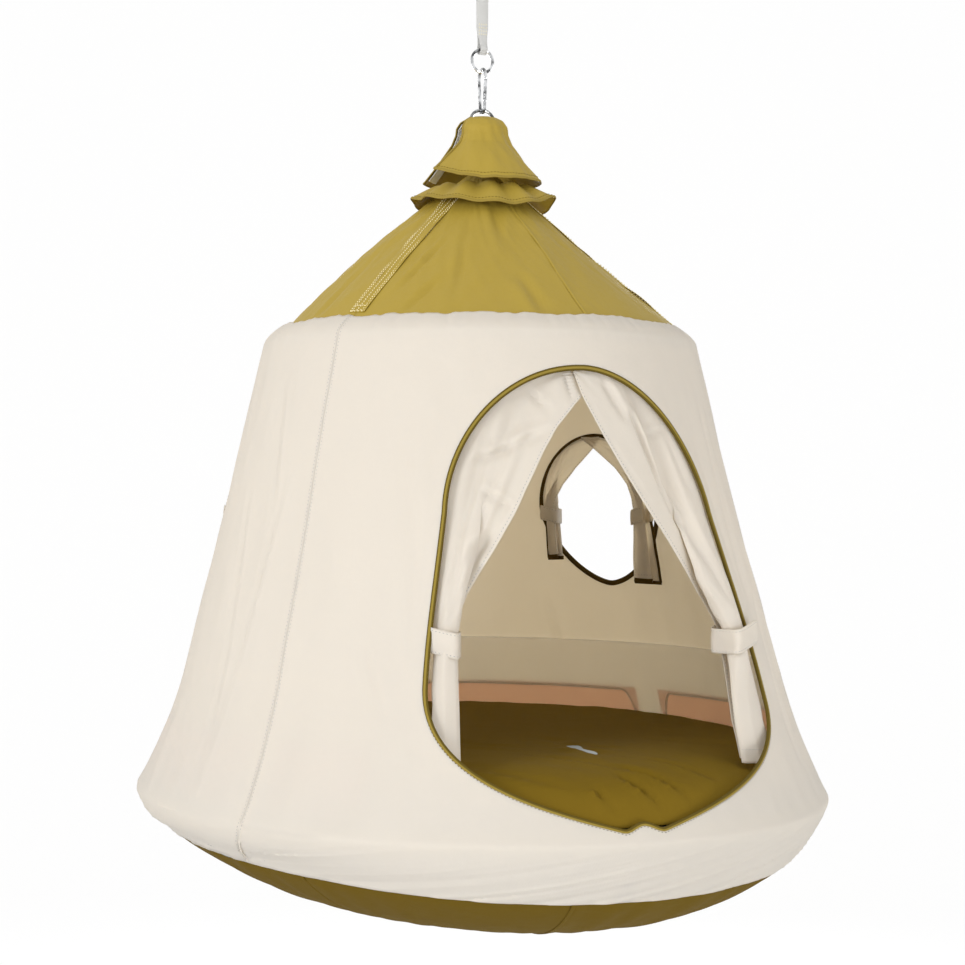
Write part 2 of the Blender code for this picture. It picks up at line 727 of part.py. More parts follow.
def ruffle_point(share, drop):
    """The ruffle rises from the roof under the cap and falls outward in waves."""
    angle = share * math.tau + SEAM_TURN
    wave = math.sin(RUFFLE_WAVES * angle)
    seat = roof_height(RUFFLE_TOP_RADIUS) + CLOTH * 0.9
    crest = roof_height(RUFFLE_CREST_RADIUS) + RUFFLE_CREST_RISE
    if drop <= RUFFLE_CREST_SHARE:
        lift = drop / RUFFLE_CREST_SHARE
        radius = mix(RUFFLE_TOP_RADIUS, RUFFLE_CREST_RADIUS, lift)
        height = mix(seat, crest, ease(lift))
        fall = 0.0
    else:
        fall = (drop - RUFFLE_CREST_SHARE) / (1.0 - RUFFLE_CREST_SHARE)
        radius = mix(RUFFLE_CREST_RADIUS, RUFFLE_HEM_RADIUS, fall)
        hem = roof_height(RUFFLE_HEM_RADIUS) + RUFFLE_HEM_RISE
        height = mix(crest, hem, fall ** 1.2)
    swing = RUFFLE_WAVE * fall * wave
    return polar(radius + swing * 0.7, angle, height + swing)


def make_ruffle(pivot):
    place(sheet("cap_ruffle", ruffle_point, 40, 5, CLOTH, closed=True), "olive", pivot)


def make_roof(pivot):
    """Six gores, each standing a seam's gap out from the axis."""
    span = math.tau / GORE_COUNT
    stations = (ROOF_POINT_RADIUS, (ROOF_POINT_RADIUS + ROOF_EAVE_RADIUS) / 2, ROOF_EAVE_RADIUS)
    profile = [(radius, roof_height(radius)) for radius in stations]
    for index in range(GORE_COUNT):
        start = SEAM_TURN + span * index
        item = turned(f"roof_gore_{index + 1}", profile, span, CLOTH)
        seat = polar(GAP, start + span / 2, 0.0)
        place(item, "olive", pivot, seat, start - math.pi / 2)


def hoop_points(radius, height, start, end, steps, square=False):
    """Points round a hoop; a square end has one more point close to it."""
    shares = [step / steps for step in range(steps + 1)]
    if square:
        shares[1:1] = [0.05 / steps]
        shares[-1:-1] = [1.0 - 0.05 / steps]
    return [polar(radius, mix(start, end, share), height) for share in shares]


def make_hoop(name, radius, height, bar, spigot, sections, pivot):
    """A hoop of bent tubes: each has a socket at one end and a spigot that fits the next one."""
    span = math.tau / sections
    reach = SPIGOT_LENGTH / radius
    ease_off = GAP / radius
    steps = round(span / FACET)
    for index in range(sections):
        start = SEAM_TURN + FACET * (steps // 2) + span * index
        item = as_mesh(tube(f"{name}_{index + 1}",
                            hoop_points(radius, height, start, start + span - ease_off, steps, True),
                            bar))
        place(item, "tube", pivot)
        plug = as_mesh(tube(f"{name}_spigot_{index + 1}",
                            hoop_points(radius, height, start + span - 3 * ease_off,
                                        start + span + reach, 2), spigot, group=CUTTERS))
        socket = as_mesh(tube(f"{name}_socket_{index + 1}",
                              hoop_points(radius, height, start - 3 * ease_off,
                                          start + reach + 2 * ease_off, 2),
                              spigot + GAP, group=CUTTERS))
        boolean(item, plug, 'UNION')
        boolean(item, socket)


def wall_profile():
    """The wall's outer face from its top edge on the roof, over the hoops, to the skirt's hem."""
    profile = [(WALL_TOP_RADIUS, WALL_TOP), (SHOULDER_RADIUS - 0.004, SHOULDER + 0.0085),
               (SHOULDER_RADIUS + 0.0003, SHOULDER + 0.002)]
    heights = [SHOULDER - 0.006] + [SHOULDER * level for level in WALL_LEVELS]
    heights += [FLARE_START * level for level in FLARE_LEVELS]
    heights += [-SKIRT_DROP * share for share in SKIRT_SHARES]
    return profile + [(wall_radius(height), height) for height in heights]


def make_walls(pivot):
    """Three cloth panels joined at the load straps: one with the door, two with a window."""
    span = math.tau / PANEL_COUNT
    door_cut = opening_cutter("door_cut", closed_edge(door_side), BINDING + GAP + 0.0001, 0.0)
    openings = [("wall_right", WINDOW_ANGLE), ("wall_left", -WINDOW_ANGLE), ("wall_front", 0.0)]
    for index, (name, centre) in enumerate(openings):
        start = SEAM_TURN + span * index
        item = turned(name, wall_profile(), span, CLOTH)
        seat = polar(GAP / math.sqrt(3.0), start + span / 2, 0.0)
        place(item, "cream", pivot, seat, start - math.pi / 2)
        if centre == 0.0:
            cutter = door_cut
        else:
            cutter = opening_cutter(f"{name}_cut", closed_edge(window_side),
                                    WINDOW_BINDING + GAP + 0.0001, centre)
        boolean(item, cutter)
        cutter.location = -pivot.point


def make_bindings(pivot):
    """The bound edges of the door and the windows, set in the cut edge of the cloth."""
    for name, edge, centre, radius, material in (
            ("door_binding", closed_edge(door_side), 0.0, BINDING, "piping"),
            ("window_binding_right", closed_edge(window_side), WINDOW_ANGLE, WINDOW_BINDING,
             "dark_olive"),
            ("window_binding_left", closed_edge(window_side), -WINDOW_ANGLE, WINDOW_BINDING,
             "dark_olive")):
        points = []
        for angle, height in edge:
            across = wall_radius(height) * math.sin(angle)
            depth = math.sqrt((wall_radius(height) - CLOTH / 2) ** 2 - across ** 2)
            points.append(Matrix.Rotation(centre, 3, 'Z') @ Vector((across, -depth, height)))
        place(tube(name, points, radius, 1, cyclic=True), material, pivot)


class Curtain:
    """One curtain half, sewn along the upper edge of an opening and tied to its side."""

    def __init__(self, centre, side, edge, meet, binding, tie, tie_height, tail_end, front, bundle,
                 free_share):
        self.centre = centre
        self.side = side
        self.inset = binding + CLOTH + GAP
        self.edge = [(side * angle, height) for angle, height in edge(side)]
        self.top = self.edge[0][1]
        self.meet = meet
        self.tie = tie
        self.tie_height = tie_height
        self.tail_end = tail_end
        self.front = front
        self.bundle = bundle
        self.wide = self.edge_angle(tie)
        self.free_share = free_share
        self.tie_share = CURTAIN_TIE_SHARE
        hold = (tie_height / 2 + TIE_MARGIN) / (self.top - tie) * self.tie_share
        self.gather_share = self.tie_share - hold

    def edge_angle(self, height):
        """The opening's half angle on this side at a height."""
        for (angle, high), (next_angle, low) in zip(self.edge, self.edge[1:]):
            if low <= height <= high and high > low:
                return mix(next_angle, angle, (height - low) / (high - low))
        return self.edge[-1][0]

    def tail_height(self, drop):
        return mix(self.tie, self.tail_end, (drop - self.tie_share) / (1.0 - self.tie_share))

    def sewn(self, drop):
        """The sewn edge as (angle, height), a little outside the opening, then the tail's back."""
        if drop >= self.tie_share:
            return self.wide * CURTAIN_SEAM_SHARE, self.tail_height(drop)
        height = mix(self.top, self.tie, (drop / self.tie_share) ** 1.6)
        angle = max(-self.meet, self.edge_angle(height) + CURTAIN_LAP)
        hold = ease(max(0.0, drop - self.gather_share) / (self.tie_share - self.gather_share))
        return mix(angle, self.wide * CURTAIN_SEAM_SHARE, hold), height

    def free(self, drop):
        """The free edge as (angle, height)."""
        if drop >= self.tie_share:
            return self.wide * self.free_share, self.tail_height(drop)
        share = min(1.0, drop / self.gather_share)
        angle = mix(-self.meet, self.wide * self.free_share, share ** 1.25)
        return angle, mix(self.top - CURTAIN_DROP, self.tie, drop / self.tie_share)

    def point(self, across, drop):
        sewn_angle, sewn_height = self.sewn(drop)
        free_angle, free_height = self.free(drop)
        angle = mix(sewn_angle, free_angle, across)
        height = mix(sewn_height, free_height, across)
        gathered = ease(min(1.0, drop / self.gather_share))
        fold = 0.5 - 0.5 * math.cos(math.tau * FOLDS * across)
        depth = mix(self.inset, self.front, gathered)
        depth += (self.bundle - self.front) * fold * mix(0.25, 1.0, gathered)
        radius = wall_radius(height) - depth
        return polar(radius, self.centre + self.side * angle, height)


    def axis(self):
        """A point on the swing axis and its direction: along the sewn edge, at its widest."""
        top = self.point(0.0, 0.0)
        tie = self.point(0.0, self.tie_share)
        direction = (top - tie).normalized()
        shoulder = max((self.point(0.0, step / 40 * self.tie_share) for step in range(41)),
                       key=lambda spot: ((spot - tie) - (spot - tie).project(direction)).length)
        return shoulder, direction


def door_curtain(side):
    return Curtain(0.0, side, door_side, -side * DOOR_MEET - MEET_GAP / 2, BINDING, DOOR_TIE,
                   DOOR_TIE_HEIGHT, DOOR_TAIL_END, DOOR_BUNDLE_FRONT, DOOR_BUNDLE_DEPTH,
                   DOOR_FREE_SHARE)


def window_curtain(centre, side):
    return Curtain(centre, side, window_side, -MEET_GAP / 2, WINDOW_BINDING, WINDOW_TIE,
                   WINDOW_TIE_HEIGHT, WINDOW_TAIL_END, WINDOW_BUNDLE_FRONT, WINDOW_BUNDLE_DEPTH,
                   WINDOW_FREE_SHARE)


class TieBand:
    """A band sewn beside an opening, across one face of the bundle and round its free edge."""

    def __init__(self, curtain, outward):
        self.curtain = curtain
        face = CLOTH / 2 + GAP + TIE_THICKNESS / 2
        self.radius = wall_radius(curtain.tie)
        self.start = curtain.wide - TIE_OFFSET if outward else curtain.wide
        free = curtain.wide * curtain.free_share - face / self.radius
        reach = (self.start - free) * self.radius
        if outward:
            self.near = curtain.front - face
            far = curtain.bundle + 2 * face
            bend = TIE_BEND
        else:
            self.near = curtain.bundle + face
            far = curtain.inset
            bend = -TIE_BEND
        corner = (reach - TIE_BEND, self.near + bend)
        self.path = [(0.0, self.near), (reach * 0.5, self.near)]
        for degrees in (90.0, 60.0, 30.0, 0.0):
            turn = math.radians(degrees)
            self.path.append((corner[0] + TIE_BEND * math.cos(turn),
                              corner[1] - bend * math.sin(turn)))
        self.path.append((reach, far))

    def point(self, along, drop):
        place_along = along * (len(self.path) - 1)
        index = min(int(place_along), len(self.path) - 2)
        share = place_along - index
        across, depth = (mix(self.path[index][i], self.path[index + 1][i], share) for i in (0, 1))
        height = self.curtain.tie + self.curtain.tie_height * (0.5 - drop)
        angle = self.start - across / self.radius
        return polar(wall_radius(height) - depth, self.curtain.centre + self.curtain.side * angle,
                     height)

    def axis(self):
        top = self.point(0.0, 0.0)
        foot = self.point(0.0, 1.0)
        return (top + foot) / 2, (top - foot).normalized()


def make_curtain_set(label, curtain, across, outward, pivot):
    """A curtain and its tie band, each on its own swing axis."""
    shoulder, _ = curtain.axis()
    swing = Pivot(f"{label}_swing_axis", shoulder, pivot)
    cloth = sheet(label, curtain.point, across, CURTAIN_ROWS, CLOTH)
    place(cloth, "cream", swing)
    band = TieBand(curtain, outward)
    hinge, _ = band.axis()
    tie_swing = Pivot(f"{label}_tie_axis", hinge, swing)
    tie = sheet(label.replace("curtain", "tie"), band.point, len(band.path) - 1, 2, TIE_THICKNESS)
    place(tie, "cream", tie_swing)


def make_lining(pivot):
    """A flap inside the foot of the wall, cut away between its tabs and at the door."""
    first, last = LINING_DOOR_FACETS
    start = SEAM_TURN - first * FACET
    heights = [mix(LINING_HEM, LINING_TOP, level) for level in LINING_LEVELS]
    heights += [LINING_HEM, (LINING_HEM + LINING_TAB_END) / 2, LINING_TAB_END]
    profile = [(wall_radius(height) - LINING_INSET, height) for height in heights]
    flap = turned("lining_flap", profile, (first + last) * FACET, LINING_THICKNESS)
    place(flap, "cream", pivot, turn=start - math.pi / 2)
    pitch = math.tau / GORE_COUNT
    outer = wall_radius(0.0)
    for index in range(GORE_COUNT):
        notch = turned(f"lining_notch_{index + 1}",
                       [(outer, LINING_HEM), (outer, LINING_TAB_END - LINING_THICKNESS)],
                       pitch - LINING_TAB, NOTCH_DEPTH, CUTTERS)
        boolean(flap, notch)
        notch.location = -pivot.point
        notch.rotation_euler.z = SEAM_TURN + pitch * index + LINING_TAB / 2 - math.pi / 2


def floor_height(radius):
    """Top face of the floor cover: flat in the middle, falling to the hoop at its edge."""
    edge = LOWER_TUBE + CLOTH + GAP
    return edge + (FLOOR_TOP - edge) * (1.0 - (radius / FLOOR_RADIUS) ** FLOOR_CROWN_POWER)


def floor_profile():
    return [(FLOOR_RADIUS * share, floor_height(FLOOR_RADIUS * share)) for share in FLOOR_SHARES]


def bag_height(radius):
    """Outer face of the base bag's belly."""
    share = radius / wall_radius(-SKIRT_DROP)
    return -BAG_SAG + (BAG_SAG - SKIRT_DROP) * share ** BAG_BELLY_POWER


def bag_profile():
    """The bag's outer face from its top edge, inside the skirt, to the middle of its belly."""
    skirt = [(wall_radius(height), height) for height in (-SKIRT_DROP * share for share in SKIRT_SHARES)]
    profile = inside(skirt, CLOTH + BAG_CLEARANCE)
    rim = wall_radius(-SKIRT_DROP)
    profile += [(rim * share, bag_height(rim * share)) for share in BAG_SHARES]
    return profile + [(BAG_FLAT_RADIUS, -BAG_SAG), (0.0, -BAG_SAG)]


def inside(profile, distance):
    """A turned profile moved in from its outer face by a distance."""
    moved = []
    for index, (radius, height) in enumerate(profile):
        before = profile[max(index - 1, 0)]
        after = profile[min(index + 1, len(profile) - 1)]
        run = (after[0] - before[0], after[1] - before[1])
        length = math.hypot(*run)
        shift = 0.0 if radius == 0.0 else run[1] / length * distance
        moved.append((radius + shift, height - run[0] / length * distance))
    return moved


def make_base(pivot):
    """The floor cover, the air cushion with its valve, and the bag that holds them."""
    seat_turn = SEAM_TURN - math.pi / 2
    cover = turned("floor_cover", floor_profile(), thickness=CLOTH)
    place(cover, "olive", pivot, turn=seat_turn)
    bag = turned("base_bag", bag_profile(), thickness=CLOTH)
    place(bag, "olive", pivot, turn=seat_turn)

    skin = CLOTH + CUSHION_CLEARANCE
    side = LOWER_HOOP_RADIUS - LOWER_TUBE - CUSHION_CLEARANCE * 2
    top = [spot for spot in inside(floor_profile(), skin) if spot[0] < side - 0.010]
    foot = [spot for spot in inside(bag_profile(), skin) if spot[0] < side - 0.004]
    waist = [(side, height) for height in (LOWER_TUBE * 2, 0.0, -LOWER_TUBE * 2)]
    cushion = turned("air_cushion", top + waist + foot)
    place(cushion, "vinyl", pivot, turn=seat_turn)
    well = VALVE_RADIUS + CUSHION_CLEARANCE
    floor = skin - BAG_SAG
    seat = polar(VALVE_SEAT_RADIUS, VALVE_ANGLE, 0.0)
    pocket = turned("valve_pocket", [(0.0, floor + VALVE_HEIGHT + CUSHION_CLEARANCE),
                                     (well, floor + VALVE_HEIGHT + CUSHION_CLEARANCE),
                                     (well, floor - 0.02), (0.0, floor - 0.02)], group=CUTTERS)
    boolean(cushion, pocket)
    pocket.location = seat - pivot.point
    valve = turned("cushion_valve", [(0.0, floor + VALVE_HEIGHT), (VALVE_RADIUS, floor + VALVE_HEIGHT),
                                     (VALVE_RADIUS, floor + CUSHION_CLEARANCE),
                                     (0.0, floor + CUSHION_CLEARANCE)])
    place(valve, "webbing", pivot, seat)


def main():
    frame = Pivot("tent_frame", (0.0, 0.0, 0.0))
    ring_top, ring_foot = UPPER_RING_TOP, UPPER_RING_TOP - 2 * UPPER_RING_RADIUS
    hook_top = hook_levels()[0]
    (pin_y, pin_z), _ = gate_line()
    ring_swing = Pivot("ring_swing_axis", (0.0, 0.0, ring_top), frame)
    hook_swing = Pivot("hook_swing_axis", (0.0, 0.0, hook_top), ring_swing)
    gate_axis = Pivot("gate_axis", (0.0, pin_y, pin_z), hook_swing)
    ring_turn = Pivot("ring_turn_axis", (0.0, 0.0, lower_ring_top()), hook_swing)
    tent_tilt = Pivot("tent_tilt_axis", (0.0, 0.0, crown_wire()), ring_turn)

    make_sling(frame)
    make_ring("upper_ring", (ring_top + ring_foot) / 2, UPPER_RING_RADIUS, UPPER_RING_WIRE,
              ring_swing)
    make_hook(hook_swing, gate_axis)
    make_ring("lower_ring", (lower_ring_top() + crown_wire()) / 2, LOWER_RING_RADIUS,
              LOWER_RING_WIRE, ring_turn)
    make_cap(ring_turn)
    make_crown(tent_tilt)
    make_straps(tent_tilt)
    make_ruffle(tent_tilt)
    make_roof(tent_tilt)
    make_hoop("upper_hoop", UPPER_HOOP_RADIUS, UPPER_HOOP_HEIGHT, UPPER_TUBE, UPPER_SPIGOT,
              UPPER_SECTIONS, tent_tilt)
    make_hoop("lower_hoop", LOWER_HOOP_RADIUS, 0.0, LOWER_TUBE, LOWER_SPIGOT, LOWER_SECTIONS,
              tent_tilt)
    make_walls(tent_tilt)
    make_bindings(tent_tilt)
    make_lining(tent_tilt)
    make_base(tent_tilt)
    for side, label in ((-1, "left"), (1, "right")):
        make_curtain_set(f"door_curtain_{label}", door_curtain(side), 10, True, tent_tilt)
        for turn, wall in ((WINDOW_ANGLE, "right"), (-WINDOW_ANGLE, "left")):
            make_curtain_set(f"{wall}_window_curtain_{label}", window_curtain(turn, side), 8,
                             False, tent_tilt)


clear_scene()
PARTS = collection("hanging_swing_tent")
CUTTERS = collection("cutters")
main()
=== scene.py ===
"""Hanging swing tent: dresses its frame of hoops, rings and straps in canvas, webbing and metal.

Metres, +Z up. The origin is the hang point; the door faces -Y. The tent's own heights are measured
from the plane of its lower hoop, and its angles from the middle of the door, positive towards +X.
"""

import math

import bpy
import numpy as np
from bpy.props import FloatProperty, FloatVectorProperty, PointerProperty
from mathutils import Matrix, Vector, noise


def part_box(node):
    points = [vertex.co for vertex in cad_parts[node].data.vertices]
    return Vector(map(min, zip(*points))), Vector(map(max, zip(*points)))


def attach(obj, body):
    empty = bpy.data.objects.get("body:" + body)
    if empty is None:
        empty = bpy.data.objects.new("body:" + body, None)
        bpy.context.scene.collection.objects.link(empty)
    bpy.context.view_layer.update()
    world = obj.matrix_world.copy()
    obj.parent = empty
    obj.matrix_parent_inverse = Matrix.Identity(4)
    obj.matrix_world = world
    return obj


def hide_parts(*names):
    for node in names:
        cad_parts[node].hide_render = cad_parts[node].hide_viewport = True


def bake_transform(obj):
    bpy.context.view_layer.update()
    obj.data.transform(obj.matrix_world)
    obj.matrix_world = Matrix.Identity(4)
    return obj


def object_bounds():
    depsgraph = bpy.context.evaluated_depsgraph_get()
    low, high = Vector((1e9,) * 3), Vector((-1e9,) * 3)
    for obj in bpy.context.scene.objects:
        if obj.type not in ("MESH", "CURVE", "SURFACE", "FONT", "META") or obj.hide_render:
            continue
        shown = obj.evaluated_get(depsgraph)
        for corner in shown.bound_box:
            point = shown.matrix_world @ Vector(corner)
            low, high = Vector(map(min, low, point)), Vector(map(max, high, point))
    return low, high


bl_info = {
    "name": "Hanging Swing Tent",
    "version": (1, 0, 0),
    "blender": (4, 5, 0),
    "location": "View3D > Sidebar > Swing Tent",
    "description": "Dresses the frame of a hanging swing tent in canvas, webbing and metal",
    "category": "Add Mesh",
}

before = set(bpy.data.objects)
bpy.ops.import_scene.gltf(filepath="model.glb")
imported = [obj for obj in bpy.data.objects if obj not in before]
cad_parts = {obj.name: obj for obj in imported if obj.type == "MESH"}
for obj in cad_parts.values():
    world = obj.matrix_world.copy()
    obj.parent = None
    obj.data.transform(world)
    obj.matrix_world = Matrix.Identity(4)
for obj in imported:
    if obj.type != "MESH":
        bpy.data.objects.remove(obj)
CAD_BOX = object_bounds()


def middle(node):
    low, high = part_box(node)
    return (low + high) / 2


# Places that the frame gives
HANG_HEIGHT = -middle("lower_hoop_1").z
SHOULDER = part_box("upper_hoop_1")[1].z + HANG_HEIGHT
LOWER_TUBE = (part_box("lower_hoop_1")[1].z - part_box("lower_hoop_1")[0].z) / 2
UPPER_TUBE = (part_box("upper_hoop_1")[1].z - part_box("upper_hoop_1")[0].z) / 2
CROWN_PATCH_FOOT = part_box("crown_patch")[0].z + HANG_HEIGHT

# Ring in the sling's lower eye
UPPER_RING_RADIUS = 0.0185

# Cloth panels
CLOTH = 0.0020
GAP = 0.0004
SEAM_TURN = math.radians(58.5)
PANEL_SPAN = math.tau / 3
GORE_SPAN = math.tau / 6

# Wall cone, outer face, stretched over the two hoops
UPPER_HOOP_RADIUS = 0.3325
LOWER_HOOP_RADIUS = 0.5303
SHOULDER_RADIUS = 0.345
WALL_TOP_RADIUS = 0.3165
WALL_TOP = 0.7306
WALL_FOOT_RADIUS = 0.5490
FLARE_START = 0.18
FLARE = 0.0246
FLARE_POWER = 1.6
WALL_SLOPE = (WALL_FOOT_RADIUS - FLARE - SHOULDER_RADIUS) / SHOULDER
SKIRT_DROP = 0.0855
SKIRT_TUCK = 0.049
OVER_SHOULDER = 0.038
WALL_END = SHOULDER + OVER_SHOULDER
PANEL_STEP = 0.0062

# Roof cone
ROOF_POINT_RADIUS = 0.020
ROOF_EAVE_RADIUS = 0.329
ROOF_EAVE = 0.7167
ROOF_SLOPE = 0.866

# Openings
DOOR_TOP = 0.650
DOOR_SPRING = 0.440
DOOR_HALF_ANGLE = math.radians(31.5)
DOOR_ARCH_POWER = {-1: 2.1, 1: 1.8}
DOOR_LOW_ANGLE = {-1: math.radians(33.6), 1: math.radians(37.5)}
DOOR_KNEE = {-1: 0.200, 1: 0.170}
DOOR_CORNER = 0.085
DOOR_SILL = 0.014
DOOR_DIP = 0.009
DOOR_DIP_ANGLE = math.radians(3.2)
DOOR_SILL_EASE = math.radians(15.0)
DOOR_SILL_RISE = 0.030
WINDOW_ANGLE = math.radians(124.0)
WINDOW_TOP = 0.571
WINDOW_SPRING = 0.445
WINDOW_FOOT = 0.307
WINDOW_HALF_ANGLE = math.radians(16.5)
WINDOW_ARCH_POWER = 2.0
WINDOW_FOOT_POWER = 1.6
BINDING = 0.0035
WINDOW_BINDING = 0.0025


def metres(name, description, default, most, least=0.0):
    """A length that a user may change."""
    return FloatProperty(name=name, description=description, default=default, min=least, max=most,
                         unit='LENGTH')


def dye(name, description, default):
    """A colour that a user may change."""
    return FloatVectorProperty(name=name, description=description, default=default, size=3,
                               min=0.0, max=1.0, subtype='COLOR')


def strength(name, description, default):
    """The power of a lamp or of the sky."""
    return FloatProperty(name=name, description=description, default=default, min=0.0)


class TentCloth(bpy.types.PropertyGroup):
    """Sizes of the sewn work that a user may change."""
    thickness: metres("Canvas thickness", "Thickness of one layer of canvas", 0.0012, 0.002, 0.0004)
    weave: metres("Weave pitch", "Distance between two threads of the canvas", 0.0011, 0.003, 0.0005)
    stitch: metres("Stitch length", "Length of one stitch on the surface", 0.0042, 0.008, 0.001)
    stitch_gap: metres("Stitch gap", "Gap between two stitches", 0.0012, 0.005, 0.0003)
    thread: metres("Thread", "Thickness of the sewing thread", 0.0011, 0.002, 0.0002)
    wall_fold: metres("Wall folds", "Depth of the wall's soft upright folds", 0.0040, 0.01)
    skirt_fold: metres("Skirt folds", "Depth of the puckers in the skirt", 0.0045, 0.015)
    hem_wave: metres("Eave waves", "Height of the waves of the wall's top edge", 0.0068, 0.01)
    curtain_fold: metres("Curtain folds", "Depth of the folds of the curtains", 0.0115, 0.015)
    ruffle_fold: metres("Ruffle folds", "Depth of the folds of the ruffle", 0.0045, 0.008)
    roof_fold: metres("Roof creases", "Depth of the creases in the roof", 0.0035, 0.01)
    floor_fold: metres("Floor creases", "Depth of the creases in the floor", 0.0030, 0.01)
    base_rise: metres("Base rise", "How far the base is drawn up on its high side", 0.028, 0.05)
    lean: FloatProperty(name="Lean", description="Drop of the lower hoop per metre towards its low side",
                        default=0.020, min=0.0, max=0.05, subtype='FACTOR')
    lean_side: FloatProperty(name="Low side", description="Angle of the hoop's low side from the door",
                             default=math.radians(66.0), subtype='ANGLE')


class TentColours(bpy.types.PropertyGroup):
    """Colours of the cloths, threads and metals."""
    cream: dye("Cream canvas", "Colour of the wall and curtains", (0.875, 0.848, 0.805))
    olive: dye("Olive canvas", "Colour of the roof, the cap and the ruffle", (0.36, 0.255, 0.032))
    base_olive: dye("Base canvas", "Colour of the floor and the base bag", (0.165, 0.103, 0.008))
    # Painted shade: this tan colours the strips at the wall's foot, inside, which stand in for the shaded
    # band below the flap's hem.
    lining: dye("Foot facing", "Colour of the facing at the wall's foot, inside", (0.84, 0.73, 0.66))
    dark_olive: dye("Window tape", "Colour of the window binding", (0.085, 0.050, 0.008))
    piping: dye("Door tape", "Colour of the door binding", (0.105, 0.072, 0.009))
    # Painted highlight: the door tape's raised fold is given a lighter colour than the tape.
    fold: dye("Door tape fold", "Colour of the door tape's raised fold", (0.26, 0.19, 0.034))
    cap_tape: dye("Cap tape", "Colour of the bound hems of the cap", (0.29, 0.21, 0.040))
    thread: dye("Thread", "Colour of the contrast stitching", (0.92, 0.82, 0.50))
    webbing: dye("Webbing", "Colour of the load straps and the crown", (0.86, 0.86, 0.84))
    sling: dye("Sling", "Colour of the hanging sling", (0.56, 0.56, 0.55))
    zinc: dye("Zinc", "Colour of the plated rings and hook", (0.72, 0.73, 0.74))
    tube: dye("Hoop tube", "Colour of the hoops' tube", (0.50, 0.51, 0.53))
    vinyl: dye("Vinyl", "Colour of the air cushion", (0.20, 0.28, 0.34))


class TentStage(bpy.types.PropertyGroup):
    """Where the camera stands and how the tent is lit."""
    eye: FloatVectorProperty(name="Camera", description="Place of the camera", size=3,
                             subtype='TRANSLATION', unit='LENGTH', default=(-1.220, -2.741, -0.8315))
    azimuth: FloatProperty(name="Camera azimuth", description="Direction that the camera looks from",
                           default=math.radians(-24.0), subtype='ANGLE')
    lens: FloatProperty(name="Lens", description="Focal length in millimetres on a 36 mm sensor",
                        default=69.0, min=20.0, max=200.0)
    shift: FloatProperty(name="Shift", description="Upward shift of the lens", default=0.0109)
    floor_drop: metres("Floor", "Height of the tent's base over the floor", 0.90, 2.0, 0.01)
    key: strength("Key light", "Power of the large soft lamp in watts", 70.0)
    fill: strength("Fill light", "Power of the lamp beside the camera in watts", 40.0)
    back: strength("Back light", "Power of the lamp behind the tent in watts", 95.0)
    sky: strength("Sky", "Strength of the even light from all round", 1.0)


def cloth():
    return bpy.context.scene.tent_cloth


def colours():
    return bpy.context.scene.tent_colours


# Plain mathematics of the cloth shapes

def mix(first, second, share):
    return first + (second - first) * share


def ease(share):
    share = np.clip(share, 0.0, 1.0)
    return share * share * (3.0 - 2.0 * share)


def together(first, second):
    """Two coordinates as arrays of one shape."""
    return np.broadcast_arrays(np.asarray(first, float), np.asarray(second, float))


def bump(value, centre, width):
    """A smooth hill of height 1 round a centre."""
    return np.exp(-((value - centre) / width) ** 2)


def crumple(angle, height, width, tall, seed):
    """Folds round the tent, about as wide and as tall as given, that meet themselves after a turn."""
    angle, height = np.broadcast_arrays(angle, height)
    reach = 0.45 / width
    values = [noise.noise((math.sin(a) * reach, math.cos(a) * reach, h / tall + seed))
              for a, h in zip(angle.ravel(), height.ravel())]
    return np.array(values).reshape(angle.shape)


def wrinkle(across, along, seed):
    """Folds of a flat cloth, in its own coordinates."""
    across, along = np.broadcast_arrays(across, along)
    values = [noise.noise((a, b, seed)) for a, b in zip(across.ravel(), along.ravel())]
    return np.array(values).reshape(across.shape)


def creased(table, first, second):
    """How deep the creases of a table are at a place; a low ridge runs along each crease's left side.

    A row of the table is a crease's two ends, its width and its depth.
    """
    sink = 0.0
    for x0, y0, x1, y1, width, depth in table:
        length = math.hypot(x1 - x0, y1 - y0)
        share = ((first - x0) * (x1 - x0) + (second - y0) * (y1 - y0)) / length ** 2
        off = ((second - y0) * (x1 - x0) - (first - x0) * (y1 - y0)) / length
        ends = np.sin(np.pi * np.clip(share, 0.0, 1.0)) ** 0.5
        sink = sink + depth * ends * (bump(off, 0.0, width) - 0.6 * bump(off, width * 1.7, width))
    return sink


def settle(radius, angle, height, leaning=1.0):
    """Points in the frame from a radius, an angle and a height.

    The lower hoop's low side hangs lower, and the base is drawn up on its high side.
    """
    radius, angle, height = np.broadcast_arrays(radius, angle, height)
    work = cloth()
    along = radius * np.cos(angle - work.lean_side)
    share = np.clip((SHOULDER - height) / SHOULDER, 0.0, 1.0)
    under = ease((-height - 0.015) / 0.07)
    lift = work.base_rise * ease((0.12 - along) / 0.62) * under - 0.005 * bump(along, 0.25, 0.2) * under
    z = height - HANG_HEIGHT - work.lean * along * share * leaning + lift
    return np.stack([radius * np.sin(angle), -radius * np.cos(angle), z], axis=-1)


def wall_radius(height):
    """Outer face of the wall's cloth at a height over the lower hoop's plane."""
    height = np.asarray(height, float)
    above = np.maximum(height, 0.0)
    radius = SHOULDER_RADIUS + (SHOULDER - above) * WALL_SLOPE
    flare = np.clip(1.0 - above / FLARE_START, 0.0, 1.0)
    below = np.clip(-height / SKIRT_DROP, 0.0, None)
    return radius + FLARE * flare ** FLARE_POWER - SKIRT_TUCK * below ** 1.5


def roof_height(radius):
    """Outer face of the roof's cloth at a radius."""
    return ROOF_EAVE + (ROOF_EAVE_RADIUS - radius) * ROOF_SLOPE


# Edges of the openings

def bezier(first, second, third, fourth, share):
    rest = 1.0 - share
    weights = (rest ** 3, 3 * rest ** 2 * share, 3 * rest * share ** 2, share ** 3)
    corners = (first, second, third, fourth)
    return tuple(sum(w * c[axis] for w, c in zip(weights, corners)) for axis in (0, 1))


